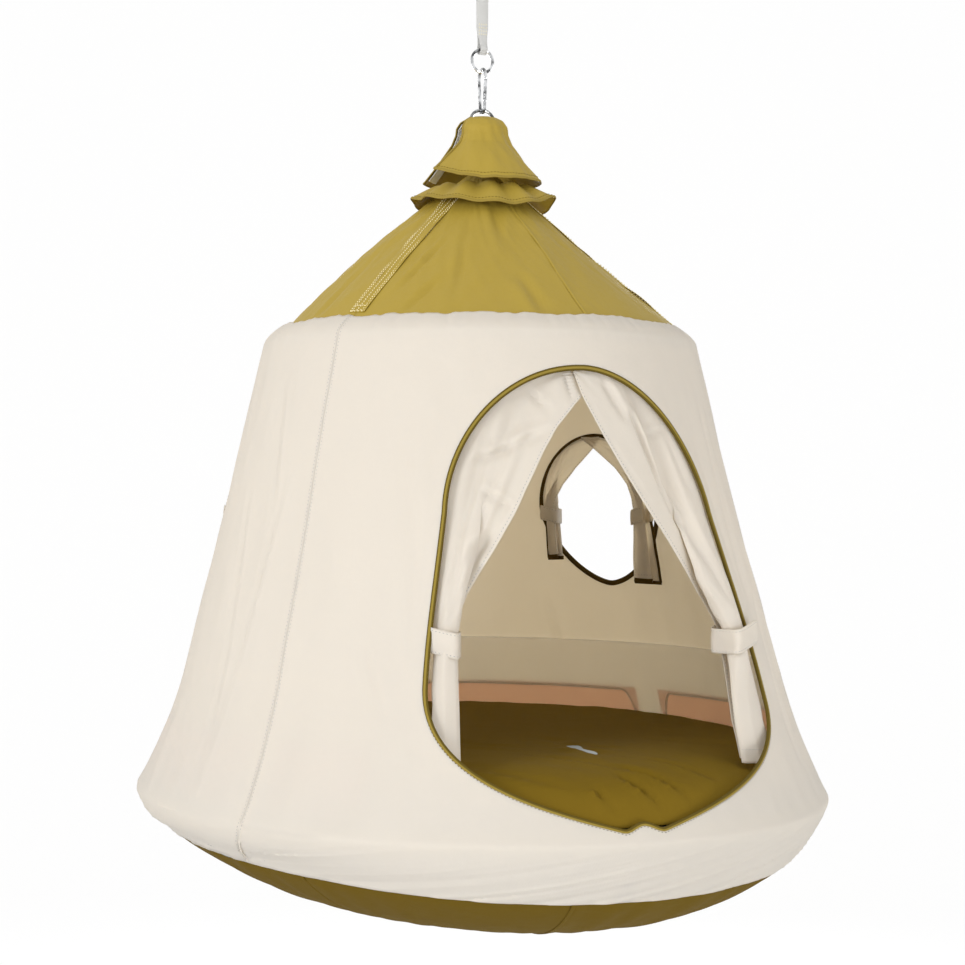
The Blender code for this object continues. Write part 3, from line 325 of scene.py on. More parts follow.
def quarter(half, spring, rise, power, steps):
    """A quarter of a rounded arch as (angle, height), from its crown to its spring line."""
    points = []
    for step in range(steps + 1):
        turn = math.pi / 2 * step / steps
        points.append((half * math.sin(turn) ** (2.0 / power),
                       spring + rise * math.cos(turn) ** (2.0 / power)))
    return points


def door_side(side):
    """One side of the door's edge as (angle, height), from the top of its arch to its sill."""
    low = DOOR_LOW_ANGLE[side]
    knee = DOOR_KNEE[side]
    arch = quarter(DOOR_HALF_ANGLE, DOOR_SPRING, DOOR_TOP - DOOR_SPRING, DOOR_ARCH_POWER[side], 32)
    spring = (DOOR_HALF_ANGLE, DOOR_SPRING)
    upright = [bezier(spring, (mix(DOOR_HALF_ANGLE, low, 0.5), mix(DOOR_SPRING, knee, 0.4)),
                      (low, mix(DOOR_SPRING, knee, 0.7)), (low, knee), step / 18)
               for step in range(1, 19)]
    foot = [bezier((low, knee), (low, DOOR_CORNER), (DOOR_SILL_EASE, DOOR_SILL + DOOR_SILL_RISE),
                   (DOOR_DIP_ANGLE, DOOR_SILL), step / 30) for step in range(1, 31)]
    rise = [(DOOR_DIP_ANGLE * (1.0 - step / 6), DOOR_SILL + DOOR_DIP * float(ease(step / 6)))
            for step in range(1, 7)]
    return [(side * angle, height) for angle, height in arch + upright + foot + rise]


def window_side(side):
    """One side of a window's edge, from the top of its arch to its foot."""
    arch = quarter(WINDOW_HALF_ANGLE, WINDOW_SPRING, WINDOW_TOP - WINDOW_SPRING,
                   WINDOW_ARCH_POWER, 24)
    foot = quarter(WINDOW_HALF_ANGLE, WINDOW_SPRING, WINDOW_FOOT - WINDOW_SPRING,
                   WINDOW_FOOT_POWER, 24)
    return [(side * angle, height) for angle, height in arch + foot[-2::-1]]


def closed_edge(side_points):
    """A whole edge from its two sides: down the right side and up the left one."""
    right = side_points(1)
    left = side_points(-1)
    return np.array(right[:-1] + left[:0:-1])


class Opening:
    """An opening's edge, known by its reach from its middle in every direction."""

    def __init__(self, turn, side_points, waist):
        self.turn = turn
        self.edge = closed_edge(side_points)
        self.waist = waist
        flat = self.flatten(self.edge[:, 0] + turn, self.edge[:, 1])
        way = np.arctan2(flat[:, 1], flat[:, 0])
        order = np.argsort(way)
        self.ways = way[order]
        self.reaches = np.hypot(flat[:, 0], flat[:, 1])[order]

    def flatten(self, angle, height):
        """Flat coordinates round the opening's middle."""
        turn = (np.asarray(angle) - self.turn + math.pi) % math.tau - math.pi
        return np.stack([turn * WALL_FOOT_RADIUS, np.asarray(height) - self.waist], axis=-1)

    def reach(self, way):
        return np.interp(way, self.ways, self.reaches, period=math.tau)

    def outside(self, angle, height):
        """How far a point is outside the edge, in metres along its own direction."""
        flat = self.flatten(angle, height)
        way = np.arctan2(flat[..., 1], flat[..., 0])
        return np.hypot(flat[..., 0], flat[..., 1]) - self.reach(way)


DOOR = Opening(0.0, door_side, 0.30)
RIGHT_WINDOW = Opening(WINDOW_ANGLE, window_side, 0.43)
LEFT_WINDOW = Opening(-WINDOW_ANGLE, window_side, 0.43)
OPENINGS = (DOOR, RIGHT_WINDOW, LEFT_WINDOW)


# Meshes

def mesh_piece(name, points, faces, uvs=None, material=None, creases=40.0):
    """A mesh object from points and faces, with its cloth coordinates in metres."""
    mesh = bpy.data.meshes.new(name)
    mesh.from_pydata([tuple(p) for p in points], [], [tuple(f) for f in faces])
    mesh.validate()
    mesh.shade_smooth()
    if creases:
        mesh.set_sharp_from_angle(angle=math.radians(creases))
    if uvs is not None:
        layer = mesh.uv_layers.new(name="cloth")
        index = np.zeros(len(mesh.loops), np.int32)
        mesh.loops.foreach_get("vertex_index", index)
        layer.data.foreach_set("uv", np.asarray(uvs, np.float32)[index].ravel())
    if material:
        mesh.materials.append(material)
    item = bpy.data.objects.new(name, mesh)
    bpy.context.scene.collection.objects.link(item)
    return item


def grid_faces(rows, columns, closed=False, flip=False):
    """Quads of a grid whose points are listed row by row."""
    faces = []
    last = columns if closed else columns - 1
    for row in range(rows - 1):
        for column in range(last):
            following = (column + 1) % columns
            a = row * columns + column
            b = row * columns + following
            c = (row + 1) * columns + following
            d = (row + 1) * columns + column
            faces.append((a, b, c, d) if flip else (a, d, c, b))
    return faces


def grid_lengths(grid):
    """Cloth coordinates of a grid: lengths along its rows and down its columns."""
    along = np.linalg.norm(np.diff(grid, axis=1), axis=2)
    down = np.linalg.norm(np.diff(grid, axis=0), axis=2)
    u = np.concatenate([np.zeros((grid.shape[0], 1)), np.cumsum(along, axis=1)], axis=1)
    u = np.broadcast_to(u.mean(axis=0), u.shape)
    v = np.concatenate([np.zeros((1, grid.shape[1])), np.cumsum(down, axis=0)], axis=0)
    v = np.broadcast_to(v.mean(axis=1)[:, None], v.shape)
    return np.stack([u, v], axis=-1).reshape(-1, 2)


def grid_piece(name, grid, material, closed=False, flip=False, thickness=None, offset=-1.0,
               creases=40.0):
    """A cloth piece from a grid of points (rows, columns, 3)."""
    rows, columns = grid.shape[:2]
    item = mesh_piece(name, grid.reshape(-1, 3), grid_faces(rows, columns, closed, flip),
                      grid_lengths(grid), material, creases)
    thicken(item, thickness, offset)
    return item


def thicken(item, thickness=None, offset=-1.0):
    """Give a cloth its thickness, to its back unless told otherwise."""
    modifier = item.modifiers.new("canvas_thickness", 'SOLIDIFY')
    modifier.thickness = thickness or cloth().thickness
    modifier.offset = offset
    modifier.use_even_offset = False
    modifier.use_rim = True


def dress(item, body, *nodes, slot=None):
    """Let a piece ride on a body, if one is given, and stand for the nodes that it covers."""
    if body:
        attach(item, body)
    if nodes:
        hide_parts(*nodes)
    return item


def run_lengths(points):
    """Length of a line up to each of its points."""
    return np.concatenate([[0.0], np.cumsum(np.linalg.norm(np.diff(points, axis=0), axis=1))])


def resample(points, step):
    """The points of a line again, about a step apart."""
    lengths = run_lengths(points)
    count = max(2, int(round(lengths[-1] / step)) + 1)
    at = np.linspace(0.0, lengths[-1], count)
    return np.stack([np.interp(at, lengths, points[:, k]) for k in range(3)], axis=1)


def unit(rows):
    return rows / np.maximum(np.linalg.norm(rows, axis=1, keepdims=True), 1e-12)


def frames_along(points, outward, closed=False):
    """Unit tangents, sides and normals along a line that lies on a surface facing outward."""
    if closed:
        ahead = np.roll(points, -1, axis=0) - np.roll(points, 1, axis=0)
    else:
        ahead = np.gradient(points, axis=0)
    ahead = unit(ahead)
    side = unit(np.cross(outward, ahead))
    return ahead, side, np.cross(ahead, side)


def sweep(name, points, outward, section, material, closed=False):
    """A solid band or cord: a closed section of (side, normal) offsets drawn along a line."""
    _, side, normal = frames_along(points, outward, closed)
    section = np.array(section)
    rings = (points[:, None, :] + side[:, None, :] * section[None, :, 0:1]
             + normal[:, None, :] * section[None, :, 1:2])
    count = len(points)
    around = len(section)
    faces = []
    last = count if closed else count - 1
    for ring in range(last):
        following = (ring + 1) % count
        for corner in range(around):
            other = (corner + 1) % around
            faces.append((ring * around + corner, ring * around + other,
                          following * around + other, following * around + corner))
    if not closed:
        faces.append(tuple(range(around))[::-1])
        faces.append(tuple((count - 1) * around + corner for corner in range(around)))
    lengths = run_lengths(points)
    girth = run_lengths(section)
    uvs = np.stack(np.broadcast_arrays(lengths[:, None], girth[None, :]), axis=-1).reshape(-1, 2)
    return mesh_piece(name, rings.reshape(-1, 3), faces, uvs, material)


def tape_section(width, thickness, corner=3):
    """A flat tape's section with rounded edges, as (side, normal) offsets."""
    half = thickness / 2
    reach = width / 2 - half
    points = []
    for start, centre in ((-90.0, reach), (90.0, -reach)):
        for step in range(corner + 1):
            turn = math.radians(start + 180.0 * step / corner)
            points.append((centre + half * math.cos(turn), half * math.sin(turn)))
    return points


def trim(name, line, width, thickness, material, slot, body="tent", closed=False):
    """A tape sewn along a line of a cloth; the line is its points and its outward directions."""
    dress(sweep(name, *line, tape_section(width, thickness), material, closed), body, slot=slot)


class Stitching:
    """Rows of stitches collected into one piece."""

    def __init__(self, bold=1.0):
        self.bold = bold
        self.points = []
        self.faces = []

    def row(self, line, outward, lift=0.0):
        """Stitches along a line that lies on a cloth facing outward."""
        work = cloth()
        pitch = work.stitch + work.stitch_gap
        half = work.thread * self.bold / 2
        fine = resample(line, pitch / 2)
        facing = np.stack([np.interp(np.linspace(0, 1, len(fine)), np.linspace(0, 1, len(outward)),
                                     outward[:, k]) for k in range(3)], axis=1)
        ahead, side, normal = frames_along(fine, facing)
        for index in range(1, len(fine) - 1, 2):
            base = len(self.points)
            centre = fine[index] + normal[index] * (lift + half * 0.4)
            reach = ahead[index] * work.stitch / 2
            self.points.append(centre - reach - normal[index] * half)
            for turn in (side[index], normal[index], -side[index], -normal[index]):
                self.points.append(centre + turn * half)
            self.points.append(centre + reach - normal[index] * half)
            for corner in range(4):
                following = (corner + 1) % 4
                self.faces.append((base, base + 1 + following, base + 1 + corner))
                self.faces.append((base + 5, base + 1 + corner, base + 1 + following))

    def follow(self, surface, first, second, lift, face=1.0):
        """Stitches along a line of a surface; face is -1 for those on its inner side."""
        line, outward = surface_line(surface, first, second, lift)
        self.row(line, outward * face)

    def piece(self, name, material):
        return mesh_piece(name, self.points, self.faces, None, material, creases=None)


def surface_line(surface, first, second, lift=0.0):
    """A line on a surface and its outward directions, from the surface's two coordinates."""
    first, second = together(first, second)
    points = surface(first, second, lift)
    outward = surface(first, second, lift + 0.001) - points
    return points, outward


# Materials

class Nodes:
    """A short way to build a node tree."""

    def __init__(self, owner, output):
        owner.use_nodes = True
        self.tree = owner.node_tree
        self.tree.nodes.clear()
        self.output = self.add(output)

    def add(self, kind, inputs=None, **settings):
        """A node with its settings; each of its inputs is a fixed value or another node's socket."""
        node = self.tree.nodes.new(kind)
        for key, value in settings.items():
            setattr(node, key, value)
        self.fill(node, inputs or {})
        return node

    def fill(self, node, inputs):
        for key, value in inputs.items():
            if isinstance(value, bpy.types.NodeSocket):
                self.tree.links.new(value, node.inputs[key])
            else:
                node.inputs[key].default_value = value

    def show(self, shader):
        self.tree.links.new(shader.outputs[0], self.output.inputs["Surface"])

    def math(self, operation, *values):
        return self.add("ShaderNodeMath", dict(enumerate(values)), operation=operation).outputs[0]

    def waves(self, value, pitch):
        """A sine wave of a pitch in metres."""
        return self.math('SINE', self.math('MULTIPLY', value, math.tau / pitch))

    def coordinate(self, kind):
        return self.add("ShaderNodeTexCoord").outputs[kind]

    def noise(self, vector, scale, detail=3.0):
        inputs = {"Vector": vector, "Scale": scale, "Detail": detail, "Roughness": 0.5}
        return self.add("ShaderNodeTexNoise", inputs).outputs["Fac"]

    def spread(self, value, low, high):
        """A value from 0 to 1 mapped to a range."""
        inputs = {"Value": value, "To Min": low, "To Max": high}
        return self.add("ShaderNodeMapRange", inputs).outputs["Result"]

    def blend(self, share, first, second):
        """One colour turning into another; each is a plain colour or a socket."""
        node = self.add("ShaderNodeMix", {0: share}, data_type='RGBA')
        sockets = [socket for socket in node.inputs if socket.type == 'RGBA']
        for socket, value in zip(sockets, (first, second)):
            if isinstance(value, tuple):
                socket.default_value = (*value, 1.0)
            else:
                self.tree.links.new(value, socket)
        return next(socket for socket in node.outputs if socket.type == 'RGBA')

    def relief(self, height, depth, distance, under=None):
        """A bump of the surface, over another one if it is given."""
        inputs = {"Strength": depth, "Distance": distance, "Height": height}
        if under:
            inputs["Normal"] = under
        return self.add("ShaderNodeBump", inputs).outputs[0]

    def seen(self):
        """1 where a ray from the camera arrives, straight, mirrored or through glass."""
        path = self.add("ShaderNodeLightPath").outputs
        direct = self.math('MAXIMUM', path["Is Camera Ray"], path["Is Glossy Ray"])
        return self.math('MAXIMUM', direct, path["Is Transmission Ray"])


class Finish(Nodes):
    """A material round one shader."""

    def __init__(self, name):
        self.material = bpy.data.materials.get(name) or bpy.data.materials.new(name)
        super().__init__(self.material, "ShaderNodeOutputMaterial")
        self.shader = self.add("ShaderNodeBsdfPrincipled")
        self.show(self.shader)

    def made(self, colour, roughness, normal, **more):
        """The finished material; the names of more sockets are written with _ for a space."""
        sockets = {key.replace("_", " "): value for key, value in more.items()}
        sockets.update({"Base Color": colour, "Roughness": roughness, "Normal": normal})
        self.fill(self.shader, sockets)
        return self.material

    def overlay(self, share, shader):
        """Put a share of another shader over the main one."""
        self.show(self.add("ShaderNodeMixShader", {0: share, 1: self.shader.outputs[0],
                                                   2: shader.outputs[0]}))


def shade(colour, factor):
    return tuple(min(1.0, channel * factor) for channel in colour)


def canvas_material(name, colour, roughness=0.86, sheen=0.15, pitch_factor=1.0, relief=0.35,
                    variation=0.06, glow=0.0, tint=(0.98, 0.91, 0.76), gloss=0.3):
    """Plain-woven canvas: crossing threads, uneven yarn, soft creases, a faint colour drift, and painted
    shade in the low gaps between the threads.

    The glow is the share of light that comes through the cloth, and the tint colours that light.
    """
    nodes = Finish(name)
    place = nodes.coordinate("Object")
    split = nodes.add("ShaderNodeSeparateXYZ", {0: nodes.coordinate("UV")})
    pitch = 2.0 * cloth().weave * pitch_factor
    threads = nodes.math('MULTIPLY', nodes.waves(split.outputs[0], pitch),
                         nodes.waves(split.outputs[1], pitch))
    yarn = nodes.noise(place, 420.0, 2.0)
    height = nodes.math('ADD', nodes.math('MULTIPLY', threads, 0.5), nodes.math('MULTIPLY', yarn, 0.8))
    slub = nodes.noise(place, 160.0, 2.0)
    worn = shade(colour, 1.0 - variation)
    body = nodes.blend(nodes.spread(nodes.noise(place, 5.0, 4.0), 0.25, 0.75), worn,
                       shade(colour, 1.0 + variation * 0.5))
    flecked = nodes.blend(nodes.spread(slub, 0.0, 0.5), body, worn)
    # Painted shade: the colour darkens towards 0.72 of itself in the low gaps between the threads.
    weave_gap_shade = nodes.math('MULTIPLY', nodes.math('SUBTRACT', 1.0, threads), 0.10)
    if glow:
        passed = tuple(min(1.0, channel * share) for channel, share in zip(colour, tint))
        nodes.overlay(glow, nodes.add("ShaderNodeBsdfTranslucent", {"Color": (*passed, 1.0)}))
    fine = nodes.relief(height, relief, 0.0004)
    return nodes.made(nodes.blend(weave_gap_shade, flecked, shade(colour, 0.72)),
                      nodes.spread(slub, roughness - 0.06, min(1.0, roughness + 0.06)),
                      nodes.relief(nodes.noise(place, 15.0, 5.0), 0.5, 0.006, fine),
                      Sheen_Weight=sheen, Sheen_Roughness=0.5, Specular_IOR_Level=gloss)


def webbing_material(name, colour):
    """Tubular webbing: bold ribs across a herringbone ground."""
    nodes = Finish(name)
    split = nodes.add("ShaderNodeSeparateXYZ", {0: nodes.coordinate("UV")})
    zigzag = nodes.math('ABSOLUTE', nodes.waves(split.outputs[1], 0.008))
    slant = nodes.math('ADD', nodes.math('MULTIPLY', split.outputs[0], math.tau / 0.0012),
                       nodes.math('MULTIPLY', zigzag, 4.0))
    height = nodes.math('ADD', nodes.math('MULTIPLY', nodes.waves(split.outputs[0], 0.0016), 0.4),
                        nodes.math('MULTIPLY', nodes.math('SINE', slant), 0.6))
    grime = nodes.noise(nodes.coordinate("Object"), 40.0, 4.0)
    return nodes.made(nodes.blend(nodes.spread(grime, 0.0, 0.5), tuple(colour), shade(colour, 0.9)),
                      nodes.spread(grime, 0.62, 0.82), nodes.relief(height, 0.6, 0.0005),
                      Sheen_Weight=0.1)


def metal_material(name, colour, roughness, wear=0.12, streaks=(0.0, 0.8), dark=0.82):
    """Plated or drawn metal with faint scratches and darker patches; a wide range and a low dark factor
    turn the patches into bright and dark streaks of painted reflection.
    """
    nodes = Finish(name)
    place = nodes.coordinate("Object")
    patch_and_reflection_noise = nodes.noise(place, 90.0, 4.0)
    scratches = nodes.noise(place, 900.0, 2.0)
    # The patches darken the colour towards the dark factor: duller patches on the hoops, painted
    # reflections on the zinc.
    return nodes.made(nodes.blend(nodes.spread(patch_and_reflection_noise, *streaks), tuple(colour), shade(colour, dark)),
                      nodes.spread(patch_and_reflection_noise, roughness - wear / 2, roughness + wear),
                      nodes.relief(scratches, 0.12, 0.0002), Metallic=1.0)


def vinyl_material(name, colour):
    """Soft vinyl with a fine grain and a dull coat."""
    nodes = Finish(name)
    place = nodes.coordinate("Object")
    clouds = nodes.noise(place, 12.0, 3.0)
    return nodes.made(nodes.blend(clouds, tuple(colour), shade(colour, 0.85)),
                      nodes.spread(clouds, 0.38, 0.52),
                      nodes.relief(nodes.noise(place, 700.0, 3.0), 0.2, 0.0003), Coat_Weight=0.15)


def backdrop_material():
    """Pale paper that the camera sees as white, with the tent's soft shadow."""
    nodes = Finish("backdrop_paper")
    grain = nodes.noise(nodes.coordinate("Object"), 60.0, 3.0)
    white = nodes.add("ShaderNodeEmission", {"Color": (1.0, 1.0, 1.0, 1.0), "Strength": 1.0})
    nodes.overlay(nodes.math('MULTIPLY', nodes.seen(), 0.93), white)
    nodes.fill(nodes.shader, {"Base Color": nodes.blend(grain, (0.80, 0.80, 0.80), (0.84, 0.84, 0.84)),
                              "Roughness": 0.9})
    return nodes.material


def kept(name, make, *values, **settings):
    """A material by its name, made at its first use."""
    return bpy.data.materials.get(name) or make(name, *values, **settings)


def cream():
    return kept("cream_canvas", canvas_material, colours().cream, glow=0.48)


def flap_cloth():
    return kept("flap_canvas", canvas_material, colours().cream, glow=0.85, tint=(1.25, 1.28, 1.34))


def foot_shade_cloth():
    # Painted shade: translucent tan cloth for the strips that stand in for the shaded band below the
    # flap's hem.
    return kept("foot_canvas", canvas_material, colours().lining, glow=0.85, tint=(1.22, 1.15, 1.15))


def hem_cloth():
    return kept("flap_hem", canvas_material, colours().cream, glow=0.6, tint=(1.13, 1.15, 1.15))


def olive():
    return kept("olive_canvas", canvas_material, colours().olive, 0.62, 0.0, 0.7, 0.25)


def base_olive():
    return kept("base_canvas", canvas_material, colours().base_olive, 0.88, 0.0, 0.7, 0.25, gloss=0.08)


def shaded_bag_olive():
    # Painted shade: the bag's olive is darkened to 0.72 of the floor's, for its underside that faces away
    # from the light.
    return kept("bag_canvas", canvas_material, shade(colours().base_olive, 0.72), 0.88, 0.0, 0.7, 0.25,
                gloss=0.08)


def tape(name, colour):
    return kept(name, canvas_material, colour, 0.8, 0.0, 0.6, 0.5, gloss=0.15)


def thread():
    return kept("sewing_thread", canvas_material, colours().thread, 0.6, 0.0, 0.4, 0.2)


def cream_thread():
    return kept("cream_thread", canvas_material, shade(colours().cream, 0.60), 0.7, 0.0, 0.4, 0.2)


def webbing():
    return kept("webbing", webbing_material, colours().webbing)


def sling_web():
    return kept("sling_webbing", webbing_material, colours().sling)


def zinc():
    # Painted reflections: the wide range and the dark factor of 0.16 give bright and dark streaks along
    # the rings and hook.
    return kept("zinc_plate", metal_material, colours().zinc, 0.16, streaks=(-2.2, 3.2), dark=0.16)


def hoop_steel():
    return kept("hoop_tube", metal_material, colours().tube, 0.38)


# Wall

def wall_calm(angle, height):
    """0 at the edges of the openings, where the cloth lies on its cone, and 1 away from them."""
    calm = 1.0
    for opening in OPENINGS:
        calm = calm * ease(opening.outside(angle, height) / 0.06)
    return calm


# Creases of the wall as (arc, height) on a radius of 0.45
WALL_CREASES = (
    (-0.331, 0.572, -0.288, 0.374, 0.016, 0.0035), (-0.288, 0.400, -0.277, 0.220, 0.010, 0.0040),
    (-0.360, 0.260, -0.324, 0.160, 0.009, 0.0030), (-0.657, 0.480, -0.612, 0.230, 0.007, 0.0040),
    (-0.612, 0.250, -0.602, 0.050, 0.007, 0.0040), (-0.543, 0.500, -0.588, 0.150, 0.006, 0.0035),
    (-0.588, 0.170, -0.590, 0.020, 0.007, 0.0035), (-0.620, 0.640, -0.560, 0.420, 0.010, 0.0035),
    (0.330, 0.600, 0.345, 0.300, 0.012, 0.0035), (0.380, 0.320, 0.350, 0.060, 0.009, 0.0035),
    (1.10, 0.300, 1.05, 0.050, 0.012, 0.0040), (-1.20, 0.280, -1.12, 0.050, 0.012, 0.0040),
    (0.75, 0.620, 0.70, 0.380, 0.014, 0.0035), (-1.30, 0.660, -1.36, 0.40, 0.014, 0.0035))
ARC_RADIUS = 0.45
SKIRT_TWIST = math.radians(4.5)


def wall_folds(angle, height):
    """How far the wall's cloth stands out from its plain cone."""
    work = cloth()
    rise = np.clip(height / SHOULDER, 0.0, 1.0)
    arch = np.sin(np.pi * np.clip(rise, 0.02, 0.98))
    upright = crumple(angle, height, 0.100, 0.70, 3.1) + 0.5 * crumple(angle, height, 0.040, 0.40, 8.7)
    slanted = crumple(angle + 0.9 * rise, height, 0.055, 0.30, 19.3)
    out = work.wall_fold * (upright + 0.7 * slanted) * arch ** 0.5
    low = np.clip(1.0 - height / 0.20, 0.0, 1.0) * ease(height / 0.03)
    out = out + work.wall_fold * 1.3 * low * crumple(angle, height, 0.034, 0.16, 21.0)
    arc = ARC_RADIUS * ((angle + math.pi) % math.tau - math.pi)
    out = out - creased(WALL_CREASES, arc, height)
    below = np.clip(-height / SKIRT_DROP, 0.0, 1.2)
    twist = angle + 0.9 * below
    puckers = crumple(twist, height, 0.036, 0.20, 14.2) + 0.6 * crumple(twist, height, 0.016, 0.12, 5.5)
    out = out + work.skirt_fold * puckers * below ** 0.7
    side = np.cos(angle - work.lean_side)
    out = out + 0.006 * np.clip(-side, 0.0, 1.0) ** 2 * ease(height / 0.45)
    out = out - 0.006 * np.clip(side, 0.0, 1.0) ** 2 * bump(height, 0.50, 0.16)
    slack = -0.003 * arch ** 2
    hoop = 0.0022 * bump(height, 0.0, 0.014)
    gather = crumple(angle, 0.0 * height, 0.016, 0.3, 33.0)
    out = out + 0.0016 * gather * np.clip((height - SHOULDER + 0.02) / 0.04, 0.0, 1.0)
    top = np.clip((height - SHOULDER) / 0.03, 0.0, 1.0)
    return (out + slack) * wall_calm(angle, height) + hoop * (1.0 - top)


def wall_surface(angle, height, lift=0.0):
    """A point of the wall. Over the shoulder the height goes on along the cloth, onto the roof."""
    angle = np.asarray(angle, float)
    height = np.asarray(height, float)
    angle = angle - SKIRT_TWIST * np.clip(-height / SKIRT_DROP, 0.0, 1.0)
    out = wall_folds(angle, height) + lift
    over = np.clip((height - SHOULDER) / OVER_SHOULDER, 0.0, 1.0)
    wave = cloth().hem_wave * (crumple(angle, 0.0 * height, 0.085, 0.3, 41.0)
                               + 0.35 * crumple(angle, 0.0 * height, 0.022, 0.3, 47.0))
    over = over * (1.0 + wave / OVER_SHOULDER * 1.2 * over)
    rest = 1.0 - over
    corner = (SHOULDER_RADIUS - 0.0045, SHOULDER + 0.0105)
    over_radius = (rest ** 2 * SHOULDER_RADIUS + 2 * rest * over * corner[0]
                   + over ** 2 * WALL_TOP_RADIUS)
    over_height = rest ** 2 * SHOULDER + 2 * rest * over * corner[1] + over ** 2 * WALL_TOP
    radius = np.where(height > SHOULDER, over_radius, wall_radius(height))
    level = np.where(height > SHOULDER, over_height, height)
    tilt = over * math.radians(52.0)
    return settle(radius + out * np.cos(tilt), angle, level + out * np.sin(tilt))


def opened_panel(opening, start, margin):
    """A wall panel as rings of (angle, height) from its opening's edge out to its own border."""
    width = WALL_FOOT_RADIUS
    left = (start - opening.turn) * width
    right = (start + PANEL_SPAN - opening.turn) * width
    low = -SKIRT_DROP - opening.waist
    high = WALL_END - opening.waist
    corners = np.array([(right, high), (left, high), (left, low), (right, low), (right, high)])
    border = []
    for first, second in zip(corners, corners[1:]):
        steps = int(round(np.linalg.norm(second - first) / PANEL_STEP))
        border.extend(mix(first, second, step / steps) for step in range(steps))
    border = np.array(border)
    way = np.arctan2(border[:, 1], border[:, 0])
    reach = opening.reach(way)
    inner = np.stack([np.cos(way), np.sin(way)], axis=1) * reach[:, None]
    inner *= (1.0 + margin / 4 / reach)[:, None]
    shares = np.linspace(0.0, 1.0, 58) ** 1.15
    rings = inner[None] + (border - inner)[None] * shares[:, None, None]
    return rings[..., 0] / width + opening.turn, rings[..., 1] + opening.waist


def make_wall(name, opening, edge, start, margin):
    """One canvas panel, cut round its opening; its angles count on from the door's middle."""
    forward = Opening(opening.turn % math.tau, edge, opening.waist)
    angle, height = opened_panel(forward, start, margin)
    rings, around = angle.shape
    uvs = np.stack([angle * WALL_FOOT_RADIUS, height], axis=-1).reshape(-1, 2)
    item = mesh_piece(f"{name}_canvas", wall_surface(angle, height).reshape(-1, 3),
                      grid_faces(rings, around, closed=True, flip=True), uvs, cream())
    thicken(item)
    dress(item, "tent", name, slot="cream")


def make_walls():
    """Three canvas panels with hems, felled seams and stitching."""
    make_wall("wall_front", DOOR, door_side, SEAM_TURN - PANEL_SPAN, BINDING)
    make_wall("wall_right", RIGHT_WINDOW, window_side, SEAM_TURN, WINDOW_BINDING)
    make_wall("wall_left", LEFT_WINDOW, window_side, SEAM_TURN + PANEL_SPAN, WINDOW_BINDING)
    stitching = Stitching()
    heights = np.linspace(WALL_END - 0.002, -SKIRT_DROP + 0.003, 200)
    for index in range(3):
        seam = SEAM_TURN + PANEL_SPAN * index
        trim(f"wall_seam_{index + 1}", surface_line(wall_surface, seam, heights, 0.0004), 0.009, 0.0014,
             cream(), "cream")
        for side in (-1, 1):
            shift = side * 0.0036 / wall_radius(np.minimum(heights, SHOULDER))
            stitching.follow(wall_surface, seam + shift, heights, 0.0011)
    angles = np.linspace(0.0, math.tau, 900)
    for level in (-SKIRT_DROP + 0.014, WALL_END - 0.011):
        stitching.follow(wall_surface, angles, level, 0.0001)
    dress(stitching.piece("wall_stitching", cream_thread()), "tent")


# Roof

PLAIN_SEAM_SHIFT = math.radians(7.0)


def angle_between(angle, other):
    """The smaller turn from one angle to another, with its sign."""
    return (np.asarray(angle) - other + math.pi) % math.tau - math.pi


def gore_seam(index):
    """Angle of a roof seam; every second one lies over a load strap, the others a little aside."""
    return SEAM_TURN + GORE_SPAN * index + (PLAIN_SEAM_SHIFT if index % 2 else 0.0)


# Creases of the roof as (side, front) seen from above
ROOF_CREASES = (
    (-0.112, 0.121, -0.207, 0.162, 0.005, 0.0040), (-0.154, 0.190, -0.221, 0.213, 0.005, 0.0035),
    (-0.041, 0.235, -0.037, 0.310, 0.010, 0.0050), (-0.064, 0.096, -0.153, 0.245, 0.007, 0.0030),
    (-0.020, 0.080, -0.045, 0.190, 0.008, 0.0030), (0.120, 0.090, 0.240, 0.130, 0.007, 0.0035),
    (-0.200, 0.020, -0.300, 0.060, 0.008, 0.0035), (-0.100, -0.120, -0.170, -0.230, 0.010, 0.0035),
    (0.090, -0.130, 0.110, -0.270, 0.010, 0.0035), (0.200, -0.040, 0.300, -0.020, 0.008, 0.0035))


def roof_surface(angle, radius, lift=0.0):
    """A point of the roof: creases run down from the crown, and the cloth sinks between its seams."""
    angle, radius = together(angle, radius)
    down = np.clip((radius - ROOF_POINT_RADIUS) / (ROOF_EAVE_RADIUS - ROOF_POINT_RADIUS), 0.0, 1.0)
    arch = np.sin(np.pi * np.clip(down, 0.03, 0.97))
    sag = 0.011 * arch * bump(angle_between(angle, math.radians(-112.0)), 0.0, 0.75)
    sag = sag - 0.004 * arch * bump(angle_between(angle, math.radians(66.0)), 0.0, 0.6)
    for index in range(6):
        off = angle_between(angle, gore_seam(index)) * np.maximum(radius, 0.05)
        sag = sag + 0.0022 * arch * bump(off, 0.0, 0.020)
    folds = crumple(angle + 0.9 * down, 0.4 * down, 0.060, 0.5, 61.0)
    fine = crumple(angle - 0.5 * down, 0.6 * down, 0.026, 0.5, 67.0)
    rough = cloth().roof_fold * (folds + 0.4 * fine) * arch ** 0.6
    out = sag + rough + lift - creased(ROOF_CREASES, radius * np.sin(angle), radius * np.cos(angle))
    slope = math.hypot(1.0, ROOF_SLOPE)
    return settle(radius + out * ROOF_SLOPE / slope, angle, roof_height(radius) + out / slope)


